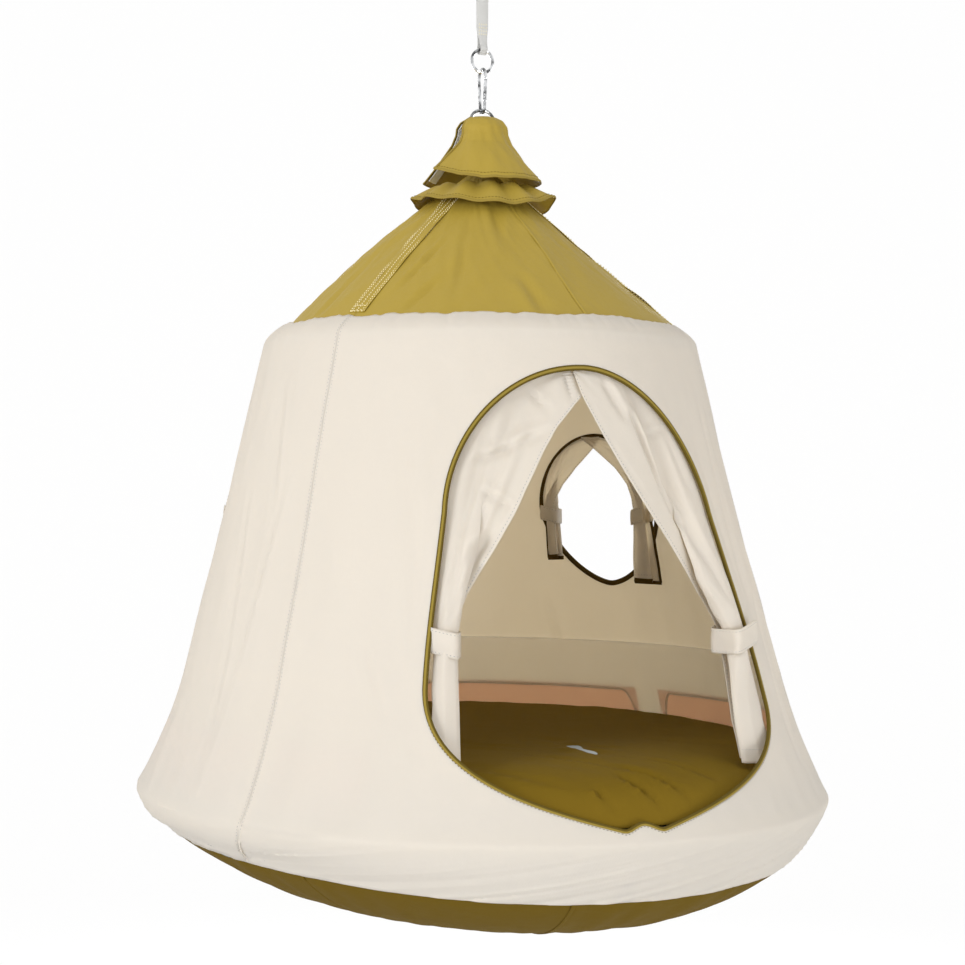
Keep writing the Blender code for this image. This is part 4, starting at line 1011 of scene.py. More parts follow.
def make_gore(index):
    """One gore of the roof, from its seam to the next one."""
    end = gore_seam(index + 1) if index < 5 else gore_seam(0) + math.tau
    angles = np.linspace(gore_seam(index), end, 60)
    radii = np.linspace(ROOF_EAVE_RADIUS, ROOF_POINT_RADIUS, 44)
    grid = roof_surface(angles[None, :], radii[:, None])
    item = grid_piece(f"roof_gore_{index + 1}_canvas", grid, olive(), flip=True)
    dress(item, "tent", f"roof_gore_{index + 1}", slot="olive")


def sew_roof_strap(stitching, seam, along):
    """Four rows of stitches and a middle one down a seam over a load strap, and two across its foot."""
    for offset in (-0.0130, -0.0092, 0.0, 0.0092, 0.0130):
        stitching.follow(roof_surface, seam + offset / along, along, 0.0010)
    ends = np.linspace(-0.0130, 0.0130, 30)
    for shift in (0.002, 0.011):
        foot = along[-1] - shift + 0.0015 * np.sin(ends * 900.0)
        stitching.follow(roof_surface, seam + ends / along[-1], foot, 0.0010)


def make_roof():
    """Six gores with their seams; the three over the load straps carry rows of stitches."""
    for index in range(6):
        make_gore(index)
    stitching = Stitching(1.9)
    along = np.linspace(0.050, ROOF_EAVE_RADIUS - 0.002, 120)
    inner = along[(along < ROOF_EAVE_RADIUS - 0.022)]
    for index in range(6):
        seam = gore_seam(index)
        number = index // 2 + 1
        if index % 2:
            trim(f"roof_seam_{number}", surface_line(roof_surface, seam, along, 0.0003), 0.006, 0.0012,
                 olive(), "olive")
            continue
        trim(f"roof_strap_band_{number}", surface_line(roof_surface, seam, inner, 0.0002), 0.030, 0.0009,
             olive(), "olive")
        sew_roof_strap(stitching, seam, inner)
    dress(stitching.piece("roof_stitching", thread()), "tent")


# Cap and ruffle

CAP_SLIT_START = math.radians(-76.5)
CAP_SLIT_WIDTH = math.radians(45.0)
CAP_HEM_RADIUS = 0.0955
RUFFLE_TOP_RADIUS = 0.050
RUFFLE_CREST_RADIUS = 0.070
RUFFLE_CREST_RISE = 0.0220
RUFFLE_CREST_SHARE = 0.4
# Shape of the cap as (share of its drop, radius, height), and its hem's rise as (degrees, metres)
CAP_SHAPE = ((0.0, 0.0247, 1.0748), (0.10, 0.0345, 1.0690), (0.20, 0.0410, 1.0590),
             (0.30, 0.0418, 1.0475), (0.42, 0.0478, 1.0318), (0.60, 0.0645, 1.0105),
             (0.80, 0.0805, 0.9890), (1.0, CAP_HEM_RADIUS, 0.9700))
CAP_HEM_RISE = ((-76.5, 0.0130), (-62.0, 0.0080), (-45.0, 0.0), (-24.0, -0.0055), (10.0, -0.0035),
                (66.0, 0.0), (140.0, 0.003), (200.0, 0.0), (238.5, 0.0))


def cap_surface(share, drop, lift=0.0):
    """A point of the cap: share goes round it from the slit, drop goes down from its top."""
    share, drop = together(share, drop)
    angle = CAP_SLIT_START + share * (math.tau - CAP_SLIT_WIDTH)
    steps, radii, heights = np.array(CAP_SHAPE).T
    turns, rises = np.array(CAP_HEM_RISE).T
    radius = np.interp(drop, steps, radii)
    height = np.interp(drop, steps, heights)
    height = height + np.interp(np.degrees(angle), turns, rises) * drop ** 2
    slide = angle - 0.9 * drop
    folds = 0.0050 * crumple(slide, 0.2 * drop, 0.17, 0.5, 71.0) * np.sin(np.pi * drop) ** 0.7
    folds = folds + 0.0030 * drop * crumple(angle, 0.3 * drop, 0.09, 0.5, 73.0)
    crease = bump(angle_between(slide, math.radians(30.0)), 0.0, 0.16) * np.sin(np.pi * drop)
    folds = folds - 0.0035 * crease
    edge = 0.003 * drop * np.exp(-share * 14.0) + 0.004 * drop * np.exp((share - 1.0) * 14.0)
    out = folds + edge + lift
    return settle(radius + out * 0.8, angle, height + out * 0.6)


# Hem of the ruffle as (degrees in the view of the door, radius, height)
RUFFLE_HEM = ((-180.0, 0.121, 0.930), (-150.0, 0.116, 0.934), (-128.0, 0.108, 0.929),
              (-112.0, 0.108, 0.930), (-90.0, 0.1150, 0.9440), (-60.0, 0.1130, 0.9385),
              (-36.0, 0.1170, 0.9340), (-26.0, 0.1190, 0.9325), (-6.0, 0.1150, 0.9255),
              (14.0, 0.1190, 0.9215), (26.0, 0.1150, 0.9225), (44.0, 0.1190, 0.9285),
              (66.0, 0.1160, 0.9400), (88.0, 0.1185, 0.9520), (104.0, 0.1200, 0.9480),
              (122.0, 0.1260, 0.9320), (140.0, 0.1180, 0.9290), (160.0, 0.1220, 0.9380))
VIEW_TURN = math.radians(24.0)


def ruffle_surface(share, drop, lift=0.0):
    """A point of the ruffle: it rises from the roof under the cap and falls outward in soft folds."""
    share, drop = together(share, drop)
    angle = share * math.tau + SEAM_TURN
    turns, radii, heights = np.array(RUFFLE_HEM).T
    facing = np.degrees((angle + VIEW_TURN + math.pi) % math.tau - math.pi)
    hem_radius, hem = (sum(np.interp(facing + slide, turns, values, period=360.0)
                           for slide in (-6.0, 0.0, 6.0)) / 3 for values in (radii, heights))
    seat = roof_height(RUFFLE_TOP_RADIUS) + CLOTH * 0.9
    crest = roof_height(RUFFLE_CREST_RADIUS) + RUFFLE_CREST_RISE
    rise = np.clip(drop / RUFFLE_CREST_SHARE, 0.0, 1.0)
    fall = np.clip((drop - RUFFLE_CREST_SHARE) / (1.0 - RUFFLE_CREST_SHARE), 0.0, 1.0)
    radius = np.where(drop <= RUFFLE_CREST_SHARE, mix(RUFFLE_TOP_RADIUS, RUFFLE_CREST_RADIUS, rise),
                      mix(RUFFLE_CREST_RADIUS, hem_radius, fall))
    height = np.where(drop <= RUFFLE_CREST_SHARE, mix(seat, crest, ease(rise)),
                      mix(crest, hem, fall ** 1.15))
    folds = np.cos(12.0 * (np.radians(facing) - math.radians(10.0)))
    swing = cloth().ruffle_fold * folds * ease(drop / 0.5) * (1.0 - 0.45 * fall)
    small = 0.0030 * fall * crumple(angle, 0.4 * drop, 0.12, 0.5, 83.0)
    out = swing + small + lift
    return settle(radius + out * 0.75, angle, height + out * 0.55)


def make_cap():
    """The cap wraps round the ring, open at its slit, with bound edges and a touch-tape strip."""
    shares = np.linspace(0.0, 1.0, 180)
    drops = np.linspace(0.0, 1.0, 48)
    item = grid_piece("top_cap_canvas", cap_surface(shares[None, :], drops[:, None]), olive())
    dress(item, "tent_ring", "top_cap", slot="olive")
    dark = tape("cap_tape", colours().cap_tape)
    trim("cap_hem_tape", surface_line(cap_surface, shares, 0.985, -0.0002), 0.0048, 0.0022, dark,
         "olive", "tent_ring")
    stitching = Stitching()
    stitching.follow(cap_surface, shares, 0.925, 0.0004)
    for end, edge in (("front", 0.004), ("back", 0.996)):
        trim(f"cap_slit_tape_{end}", surface_line(cap_surface, edge, drops, -0.0002), 0.006, 0.0022,
             dark, "olive", "tent_ring")
    band = np.linspace(0.93, 0.992, 8)
    rows = np.linspace(0.10, 0.92, 40)
    strip = grid_piece("cap_touch_tape_strip",
                       cap_surface(band[None, :], rows[:, None], -0.0026), webbing(), flip=True,
                       thickness=0.0012, offset=1.0)
    dress(strip, "tent_ring", "cap_touch_tape", slot="touch_tape")
    strip_area = grid_area(cap_surface(band[None, :], rows[:, None]))
    dress(stitching.piece("cap_stitching", tape("cap_thread", colours().piping)), "tent_ring")


def make_ruffle():
    """A gathered ring of cloth whose hem is bound and stitched."""
    shares = np.linspace(0.0, 1.0, 361)[:-1]
    drops = np.linspace(0.0, 1.0, 36)
    grid = ruffle_surface(shares[None, :], drops[:, None])
    item = grid_piece("cap_ruffle_canvas", grid, olive(), closed=True)
    dress(item, "tent", "cap_ruffle", slot="olive")
    trim("ruffle_hem_tape", surface_line(ruffle_surface, shares, 0.985, -0.0002), 0.0048, 0.0022,
         tape("cap_tape", colours().cap_tape), "olive", closed=True)
    stitching = Stitching()
    closed = np.append(shares, 1.0)
    stitching.follow(ruffle_surface, closed, 0.91, 0.0004)
    dress(stitching.piece("ruffle_stitching", tape("cap_thread", colours().piping)), "tent")


# Bound edges of the openings

def edge_line(opening, spread=0.0, lift=0.0):
    """A closed line along an opening's edge, moved out from the opening by a spread."""
    flat = opening.flatten(opening.edge[:, 0] + opening.turn, opening.edge[:, 1])
    ahead = unit(np.roll(flat, -1, axis=0) - np.roll(flat, 1, axis=0))
    away = np.stack([ahead[:, 1], -ahead[:, 0]], axis=1)
    if (away * flat).sum() < 0.0:
        away = -away
    moved = flat + away * spread
    angle = moved[:, 0] / WALL_FOOT_RADIUS + opening.turn
    height = moved[:, 1] + opening.waist
    return surface_line(wall_surface, angle, height, lift)


def closed_resample(points, step):
    ring = np.concatenate([points, points[:1]], axis=0)
    return resample(ring, step)[:-1]


def make_bindings():
    """Folded tape round each opening, with its row of stitches."""
    stitching = Stitching()
    for name, opening, width, depth, colour, slot in (
            ("door_binding", DOOR, 0.0088, 0.0050, colours().piping, "piping"),
            ("window_binding_right", RIGHT_WINDOW, 0.0095, 0.0040, colours().dark_olive, "dark_olive"),
            ("window_binding_left", LEFT_WINDOW, 0.0095, 0.0040, colours().dark_olive, "dark_olive")):
        fine = closed_resample(edge_line(opening, 0.0, -CLOTH / 2)[0], 0.006)
        facing = unit(fine * (1.0, 1.0, 0.0))
        item = sweep(f"{name}_tape", fine, facing, tape_section(width, depth, 6),
                     tape(f"{slot}_tape", colour), closed=True)
        dress(item, "tent", name, slot=slot)
        if opening is DOOR:
            # Painted highlight: a lighter band along the door tape's raised fold.
            ridge = sweep(f"{name}_fold", fine + facing * depth * 0.44, facing,
                          tape_section(0.0036, 0.0016, 4), tape("fold_tape", colours().fold), closed=True)
            dress(ridge, "tent", slot=slot)
        row, out = edge_line(opening, width * 0.24, depth / 2 - CLOTH / 2)
        ring = np.concatenate([row, row[:1]])
        stitching.row(ring, np.concatenate([out, out[:1]]))
    dress(stitching.piece("binding_stitching", tape("binding_thread", colours().piping)), "tent")


# Curtains and tie bands

TIE_THICKNESS = 0.0014
CURTAIN_LAP = math.radians(0.3)
TIE_SHARE = 0.66
DOOR_TIE = 0.265
DOOR_TAIL_END = 0.077
TAIL_SLANT = 0.006
WINDOW_TIE = 0.435
WINDOW_TAIL_END = {-1: 0.309, 1: 0.348}
WINDOW_LAP = math.radians(-0.5)
DOOR_PLUMB = 0.40
WINDOW_PLUMB = 0.85
RIGHT_DOOR_TUCK = 0.26
# Depth, inset and bulge of the door curtains' bundles
DOOR_BUNDLE = {-1: (0.034, 0.0125, 0.006), 1: (0.027, 0.0075, 0.015)}
WINDOW_BUNDLE = 0.020
WINDOW_INSET = {-1: 0.0105, 1: 0.0065}
CURTAIN_HEM = 0.965
# Free edges as (height, angle from the opening's middle towards the curtain's own side)
DOOR_FREE = {
    -1: ((0.6440, -5.1), (0.6076, 0.3), (0.5956, 2.3), (0.5635, 7.0), (0.5270, 10.6),
         (0.4750, 14.6), (0.4425, 16.7), (0.3880, 21.0), (0.3530, 24.1), (0.3250, 26.4),
         (0.2995, 27.8), (0.2650, 28.9)),
    1: ((0.6450, -2.2), (0.6076, -0.4), (0.5551, 3.5), (0.4929, 8.5), (0.4336, 13.0),
        (0.3774, 17.8), (0.3241, 23.0), (0.2900, 27.8), (0.2650, 30.4)),
}
# Creases of the door curtains as (arc, height) on a radius of 0.45
DOOR_CREASES = {
    -1: ((-0.206, 0.512, -0.135, 0.534, 0.006, 0.0060), (-0.150, 0.530, -0.057, 0.560, 0.007, 0.0055),
         (-0.195, 0.474, -0.125, 0.440, 0.006, 0.0055), (-0.212, 0.372, -0.146, 0.412, 0.013, 0.0120),
         (-0.034, 0.645, -0.013, 0.590, 0.005, 0.0050), (-0.221, 0.430, -0.235, 0.300, 0.008, 0.0045),
         (-0.110, 0.620, -0.060, 0.585, 0.006, 0.0040)),
    1: ((0.098, 0.590, 0.149, 0.467, 0.006, 0.0085), (0.145, 0.477, 0.180, 0.420, 0.007, 0.0080),
        (0.168, 0.440, 0.243, 0.313, 0.010, 0.0060), (0.137, 0.552, 0.200, 0.567, 0.005, 0.0045),
        (0.042, 0.634, 0.085, 0.576, 0.008, 0.0045), (0.159, 0.607, 0.218, 0.460, 0.009, 0.0045)),
}
WINDOW_FREE = {
    -1: ((0.5660, -3.2), (0.5500, 0.1), (0.5150, 6.2), (0.4850, 9.8), (0.4600, 11.4), (0.4350, 11.9)),
    1: ((0.5660, -2.0), (0.5500, 0.2), (0.5150, 6.0), (0.4850, 9.6), (0.4600, 11.3), (0.4350, 11.9)),
}
# A gathered curtain's folds: how far across the bundle, and how deep in it, each share of its width is
BUNDLE_SHARES = (0.0, 0.16, 0.32, 0.38, 0.44, 0.62, 0.68, 0.74, 1.0)
BUNDLE_ACROSS = (0.0, 0.52, 0.96, 1.05, 0.94, 0.30, 0.18, 0.30, 0.88)
BUNDLE_DEPTHS = (0.0, -0.10, 0.10, 0.28, 0.45, 0.52, 0.66, 0.80, 1.0)


class Curtain:
    """One curtain half, sewn along the upper edge of an opening and tied back to its side."""

    def __init__(self, opening, side, edge, free, tie, tail_end, depth, inset, bulge, seed):
        self.opening = opening
        self.side = side
        points = np.array([(side * angle, height) for angle, height in edge(side)])
        self.top = points[0, 1]
        self.tie = tie
        self.tail_end = tail_end
        self.depth = depth
        self.inset = inset
        self.bulge = bulge
        self.seed = seed
        self.lap = CURTAIN_LAP if opening is DOOR else WINDOW_LAP
        self.plumb = DOOR_PLUMB if opening is DOOR else WINDOW_PLUMB
        self.tuck = RIGHT_DOOR_TUCK if opening is DOOR and side > 0 else 0.0
        upper = points[points[:, 1] > tail_end - 0.05]
        self.edge_heights = upper[::-1, 1]
        self.edge_angles = upper[::-1, 0]
        self.free_heights, self.free_angles = np.array(free)[::-1].T
        self.wide = float(self.edge_angle(tie))

    def edge_angle(self, height):
        """The opening's half angle on this side at a height."""
        return np.interp(height, self.edge_heights, self.edge_angles)

    def sewn_angle(self, share, height):
        """Angle of the sewn edge, which starts at the free one and ends under the band."""
        sewn = self.edge_angle(height) + self.lap
        sewn = mix(sewn, self.wide - abs(self.lap), ease((share - 0.75) / 0.25))
        start = mix(math.radians(self.free_angles[-1]), sewn, ease(share / 0.04))
        return np.where(share < 0.04, start, sewn)

    def folds(self, across, drop, share, tail, angle, height):
        """How deep the cloth sinks in the folds that run to the band, its creases and wrinkles."""
        over_band = height - self.tie + 0.02
        aside = (self.wide - angle) * ARC_RADIUS
        away = np.hypot(aside, over_band)
        ray = np.arctan2(over_band, aside + 0.001)
        inner = np.sin(np.pi * np.clip(across, 0.02, 0.98)) ** 0.6
        pull = wrinkle(ray * 5.0, away * 4.0, self.seed)
        pull = pull + 0.5 * wrinkle(ray * 11.0, away * 7.0, self.seed + 5)
        pull = (pull - 0.7 * np.abs(pull)) * np.clip(away / 0.08, 0.0, 1.0) * inner
        pull = pull * np.sin(np.pi * share) ** 0.5
        small = wrinkle(across * 5.0 + drop * 3.0, drop * 14.0, self.seed + 9) * inner
        sunk = 0.0
        if self.opening is DOOR:
            sunk = creased(DOOR_CREASES[self.side], self.side * angle * ARC_RADIUS, height)
            sunk = sunk * inner * (1.0 - np.clip(tail * 4.0, 0.0, 1.0))
        return sunk - cloth().curtain_fold * pull - 0.0015 * small * (1.0 - 0.5 * tail)

    def below_band(self, across, tail, depth, reach, free_angle):
        """Radius, angle and height of the tail, which hangs the more plumb the freer it is."""
        height = self.tie - (self.tie - self.tail_end - TAIL_SLANT * across) * tail
        hang = np.clip(reach, 0.0, 1.0) * self.plumb
        radius = mix(wall_radius(height) - depth, wall_radius(self.tie) - depth, hang)
        sewn = np.maximum(self.edge_angle(height), self.wide) - CURTAIN_LAP * 3.0
        bundle_angle = self.wide - (self.wide - free_angle) * reach * (1.0 + 0.20 * tail)
        angle = mix(sewn - (self.wide - bundle_angle), bundle_angle, hang / self.plumb * 0.85)
        sway = 0.004 * wrinkle(across * 2.0, tail * 2.5, self.seed + 13) * tail
        return radius - sway, angle, height

    def surface(self, across, drop, lift=0.0):
        """A point of the cloth: across from the sewn edge to the free one, drop from top to tail."""
        across, drop = together(across, drop)
        share = np.clip(drop / TIE_SHARE, 0.0, 1.0)
        tail = np.clip((drop - TIE_SHARE) / (1.0 - TIE_SHARE), 0.0, 1.0)
        folded = ease((share - 0.05) / 0.95) ** 2.6
        bundle = np.interp(across, BUNDLE_SHARES, BUNDLE_DEPTHS)
        reach = mix(across, np.interp(across, BUNDLE_SHARES, BUNDLE_ACROSS), folded)
        reach = reach - self.tuck * bundle * folded
        sewn_height = mix(self.top - 0.001, self.tie, share ** 1.45)
        free_height = mix(self.free_heights[-1], self.tie, share)
        free_angle = np.radians(np.interp(free_height, self.free_heights, self.free_angles))
        angle = mix(self.sewn_angle(share, sewn_height), free_angle, reach)
        height = mix(sewn_height, free_height, across)
        hill = np.sin(np.pi * np.clip(across / 0.40, 0.0, 1.0)) * folded ** 1.5
        depth = self.inset + self.depth * bundle * folded - self.bulge * hill * ease(1.0 - tail * 1.8)
        depth = depth + 0.004 * np.sin(np.pi * across) * np.sin(np.pi * share) * (1.0 - folded)
        depth = depth + self.folds(across, drop, share, tail, angle, height)
        depth = depth + 0.003 * bump(drop, TIE_SHARE, 0.05) * (0.5 - bundle)
        upper = (wall_radius(height) - depth, angle, height)
        lower = self.below_band(across, tail, depth, reach, free_angle)
        radius, angle, height = (np.where(drop > TIE_SHARE, under, over)
                                 for over, under in zip(upper, lower))
        return settle(radius + lift, self.opening.turn + self.side * angle, height)


def door_curtain(side):
    depth, inset, bulge = DOOR_BUNDLE[side]
    return Curtain(DOOR, side, door_side, DOOR_FREE[side], DOOR_TIE, DOOR_TAIL_END, depth, inset,
                   bulge, 91.0 + side)


def window_curtain(opening, side):
    return Curtain(opening, side, window_side, WINDOW_FREE[side], WINDOW_TIE, WINDOW_TAIL_END[side],
                   WINDOW_BUNDLE, WINDOW_INSET[side], 0.003, 97.0 + side + opening.turn)


def rounded_path(corners, bend):
    """A line through corners, each rounded off but the first and the last."""
    path = [corners[0]]
    for before, at, after in zip(corners, corners[1:], corners[2:]):
        at = Vector(at)
        first = at + (Vector(before) - at).normalized() * bend
        last = at + (Vector(after) - at).normalized() * bend
        for share in np.linspace(0.0, 1.0, 9):
            path.append(first * (1 - share) ** 2 + at * 2 * share * (1 - share) + last * share ** 2)
    path.append(corners[-1])
    return np.array([tuple(spot) for spot in path])


class TieBand:
    """A band sewn beside an opening and wrapped round the bundle."""

    def __init__(self, curtain, height, outward):
        self.curtain = curtain
        self.height = height
        self.radius = float(wall_radius(curtain.tie))
        wide = (curtain.wide - math.radians(curtain.free_angles[0])) * self.radius + 0.005
        near = curtain.inset - curtain.bulge - 0.004
        far = curtain.inset + curtain.depth + 0.003
        start = -0.009 if curtain.bulge > 0.01 else 0.003
        first, last = (near, far) if outward else (far, near)
        corners = ((start, first), (wide, first), (wide, last), (0.006, last))
        self.path = rounded_path(corners, min(0.010, (far - near) * 0.42))

    def surface(self, along, drop, lift=0.0):
        """A point of the band: along goes round the bundle, drop down the band's width."""
        along, drop = together(along, drop)
        lengths = run_lengths(self.path)
        across, depth = (np.interp(along * lengths[-1], lengths, self.path[:, k]) for k in (0, 1))
        mid_across, mid_depth = self.path.mean(axis=0)
        out_across = np.sign(across - mid_across) * np.clip(np.abs(across - mid_across) / 0.02, 0, 1)
        height = self.curtain.tie + self.height * (0.5 - drop) - 0.22 * np.clip(across, 0.0, 1.0)
        ripple = 0.0012 * wrinkle(along * 8.0, drop * 3.0, self.curtain.seed + 21)
        belly = 0.0010 * np.sin(np.pi * drop) + ripple + lift
        depth = depth + belly * np.where(depth < mid_depth, -1.0, 1.0)
        angle = self.curtain.wide - (across + belly * out_across) / self.radius
        return settle(self.radius - depth, self.curtain.opening.turn + self.curtain.side * angle, height)


def grid_area(grid):
    """Area of a grid of points in square metres."""
    across = grid[:-1, 1:] - grid[:-1, :-1]
    down = grid[1:, :-1] - grid[:-1, :-1]
    return float(np.linalg.norm(np.cross(across, down), axis=2).sum())


def follow_swing(item, curtain):
    """Apply a piece's modifiers into its own mesh and bake its place into its points."""
    graph = bpy.context.evaluated_depsgraph_get()
    mesh = bpy.data.meshes.new_from_object(item.evaluated_get(graph))
    item.modifiers.clear()
    item.data = mesh
    start = Vector(curtain.surface(0.5, 0.0))
    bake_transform(item)


def make_tie(tie, curtain, height, outward):
    """The band that ties a curtain, with a row of stitches along each side."""
    band = TieBand(curtain, height, outward)
    along = np.linspace(0.0, 1.0, 60)
    grid = band.surface(along[None, :], np.linspace(0.0, 1.0, 12)[:, None])
    wrap = grid_piece(f"{tie}_band", grid, cream(), flip=(curtain.side > 0) != outward,
                      thickness=TIE_THICKNESS, offset=0.0)
    dress(wrap, tie, tie, slot="curtain")
    stitching = Stitching()
    for level in (0.10, 0.90):
        stitching.follow(band.surface, along, level, TIE_THICKNESS / 2)
    dress(stitching.piece(f"{tie}_stitching", cream_thread()), tie)


def hem_curtain(label, curtain, across, drops):
    """Stitches along a curtain's free edge and lower hem, on both of its faces."""
    stitching = Stitching()
    for face in (-1.0, 1.0):
        lift = face * cloth().thickness / 2
        stitching.follow(curtain.surface, CURTAIN_HEM, drops, lift, face)
        stitching.follow(curtain.surface, across, CURTAIN_HEM, lift, face)
    follow_swing(stitching.piece(f"{label}_stitching", cream_thread()), curtain)


def bind_curtain(label, curtain, across):
    """Dark tape round the lower hem of a curtain and up the sewn side of its tail."""
    dark = tape("dark_olive_tape", colours().dark_olive)
    lower = np.linspace(TIE_SHARE * 1.06, 0.99, 30)
    for name, width, line in (("hem", 0.0075, surface_line(curtain.surface, across, 0.992)),
                              ("edge", 0.0060, surface_line(curtain.surface, 0.012, lower))):
        trim(f"{label}_{name}_tape", line, width, 0.0030, dark, "dark_olive", label)


def make_curtain(label, curtain, height, outward):
    """A curtain with its hems, and the band that ties it."""
    across = np.linspace(0.0, 1.0, 74)
    drops = np.concatenate([np.linspace(0.0, TIE_SHARE, 96), np.linspace(TIE_SHARE, 1.0, 44)[1:]])
    grid = curtain.surface(across[None, :], drops[:, None])
    item = grid_piece(f"{label}_canvas", grid, cream(), flip=curtain.side > 0, offset=0.0)
    dress(item, None, label, slot="curtain")
    tie = label.replace("curtain", "tie")
    follow_swing(item, curtain)
    make_tie(tie, curtain, height, outward)
    hem_curtain(label, curtain, across, drops)
    if curtain.opening is not DOOR:
        bind_curtain(label, curtain, across)


def make_curtains():
    for side, name in ((-1, "left"), (1, "right")):
        make_curtain(f"door_curtain_{name}", door_curtain(side), 0.036, True)
        for opening, wall in ((RIGHT_WINDOW, "right"), (LEFT_WINDOW, "left")):
            make_curtain(f"{wall}_window_curtain_{name}", window_curtain(opening, side), 0.026, False)


# Lining flap, floor, cushion and base bag

LINING_INSET = 0.0054
LINING_TOP = 0.200
LINING_HEM = 0.110
LINING_TAB_END = 0.055
LINING_TAB = math.radians(6.5)
LINING_START = SEAM_TURN - math.radians(10.0)
LINING_SPAN = math.radians(270.0)
# Heights of the tan strips that stand in for the shaded band below the flap's hem: painted shade.
SHADE_STRIP_TOP = 0.116
SHADE_STRIP_FOOT = 0.024
FLOOR_TOP = 0.087
FLOOR_RADIUS = 0.5335
FLOOR_CROWN_POWER = 12
BAG_SAG = 0.185
BAG_BELLY_POWER = 4
BAG_CLEARANCE = 0.0006
BAG_SKIRT_SHARE = 0.14
BAG_SEAM_TURN = SEAM_TURN + math.radians(22.0)
CUSHION_SKIN = CLOTH + 0.0006
CUSHION_HUB = 0.002
CUSHION_WAIST = -0.055
WELDS = (0.17, 0.34)
WELD_DEPTH = 0.006
WELD_WIDTH = 0.010
AIR_PRESSURE = 4.0
AIR_FRAMES = 20
AIR_REACH = 0.004


def lining_hem(angle):
    """Height of the flap's lower edge: level between its tabs, which reach down to the floor."""
    turn = ((angle - SEAM_TURN) / GORE_SPAN) % 1.0
    off = np.minimum(turn, 1.0 - turn) * GORE_SPAN
    narrow = LINING_TAB / 2
    fall = np.where(off < narrow, 1.0, np.clip((narrow * 1.9 - off) / (narrow * 0.9), 0.0, 1.0) ** 2.2)
    wave = 0.002 * crumple(angle, 0.0 * angle, 0.10, 0.4, 101.0)
    return mix(LINING_HEM + wave, LINING_TAB_END, fall)


def lining_surface(angle, drop, lift=0.0):
    """A point of the flap: drop goes from its seam on the wall down to its hem."""
    angle, drop = together(angle, drop)
    height = mix(LINING_TOP, lining_hem(angle), drop)
    ripple = 0.0015 * drop * crumple(angle, height, 0.07, 0.2, 105.0)
    return settle(wall_radius(height) - LINING_INSET + ripple - lift, angle, height)


def foot_shade_surface(angle, height, lift=0.0):
    """A point of a tan strip between the wall's foot and the flap, painted shade for the band below the
    flap's hem.
    """
    angle, height = together(angle, height)
    return settle(wall_radius(height) - 0.0036 - lift, angle, height)


def make_foot_shade_strips(last):
    """Five tan strips between the flap's tabs, up to a last angle, painted shade for the band below the
    flap's hem.
    """
    edge = LINING_TAB * 0.42
    heights = np.linspace(SHADE_STRIP_TOP, SHADE_STRIP_FOOT, 12)
    for index in range(5):
        start = SEAM_TURN + GORE_SPAN * index + edge
        end = min(start + GORE_SPAN - 2 * edge, last)
        span = np.linspace(start, end, 120)
        strip = grid_piece(f"wall_foot_shade_strip_{index + 1}",
                           foot_shade_surface(span[None, :], heights[:, None]),
                           foot_shade_cloth(), thickness=0.0006, offset=-1.0)
        dress(strip, "tent", slot="cream")


def make_lining():
    """The flap inside the foot of the wall, its hem bound, with tabs down to the floor."""
    angles = np.linspace(LINING_START, LINING_START + LINING_SPAN, 1000)
    drops = np.linspace(0.0, 1.0, 20)
    item = grid_piece("lining_flap_canvas", lining_surface(angles[None, :], drops[:, None]),
                      flap_cloth(), thickness=0.0010, offset=-1.0)
    dress(item, "tent", "lining_flap", slot="cream")
    make_foot_shade_strips(angles[-1])
    line = surface_line(lining_surface, angles, 0.99, 0.0008)
    trim("lining_hem_tape", [half[::2] for half in line], 0.0045, 0.0014, hem_cloth(), "cream")


# Creases of the floor as (right, near, right, near, width, depth) in the view of the door
FLOOR_CREASES = (
    (0.19, 0.41, 0.27, 0.475, 0.006, 0.0130), (0.15, 0.455, 0.185, 0.495, 0.005, 0.0120),
    (0.20, 0.37, 0.30, 0.430, 0.006, 0.0100), (0.06, 0.30, 0.25, 0.400, 0.010, 0.0055),
    (-0.18, 0.33, 0.02, 0.42, 0.012, 0.0050), (0.10, 0.10, 0.20, 0.330, 0.014, 0.0045),
    (-0.10, 0.12, 0.06, 0.24, 0.016, 0.0040), (-0.02, 0.42, 0.12, 0.47, 0.007, 0.0060),
    (0.24, 0.30, 0.34, 0.36, 0.008, 0.0060), (-0.30, 0.10, -0.20, 0.30, 0.012, 0.0045))


def floor_height(radius):
    """Top face of the floor cover: flat in the middle, falling to the hoop at its edge."""
    edge = LOWER_TUBE + CLOTH + GAP
    return edge + (FLOOR_TOP - edge) * (1.0 - (radius / FLOOR_RADIUS) ** FLOOR_CROWN_POWER)


def floor_surface(angle, radius, lift=0.0):
    """A point of the floor cloth, with its creases and the hollows between them."""
    angle, radius = together(angle, radius)
    share = radius / FLOOR_RADIUS
    x = radius * np.sin(angle)
    y = radius * np.cos(angle)
    swell = wrinkle(x * 4.0, y * 4.0, 111.0)
    near = bump(np.hypot(x - 0.02, y - 0.30), 0.0, 0.16)
    swell = swell + 1.6 * near * wrinkle((x + y) * 9.0, (x - y) * 28.0, 117.0)
    creases = crumple(angle, share * 0.5, 0.035, 0.5, 113.0) * share ** 2
    turned = angle + VIEW_TURN
    sunk = creased(FLOOR_CREASES, radius * np.sin(turned), radius * np.cos(turned))
    out = (cloth().floor_fold * (swell * 0.6 + creases) - sunk) * (1.0 - share ** 10)
    leaning = 1.0 - ease((share - 0.86) / 0.10) * (np.cos(angle - cloth().lean_side) > 0.0)
    return settle(radius, angle, floor_height(radius) + out + lift, leaning)


def skirt_inner(angle, height):
    """Radius of the bag's upper part, just inside the wall's skirt and its puckers."""
    folds = np.minimum(wall_folds(angle, height), 0.0)
    return wall_radius(height) + folds - CLOTH - BAG_CLEARANCE


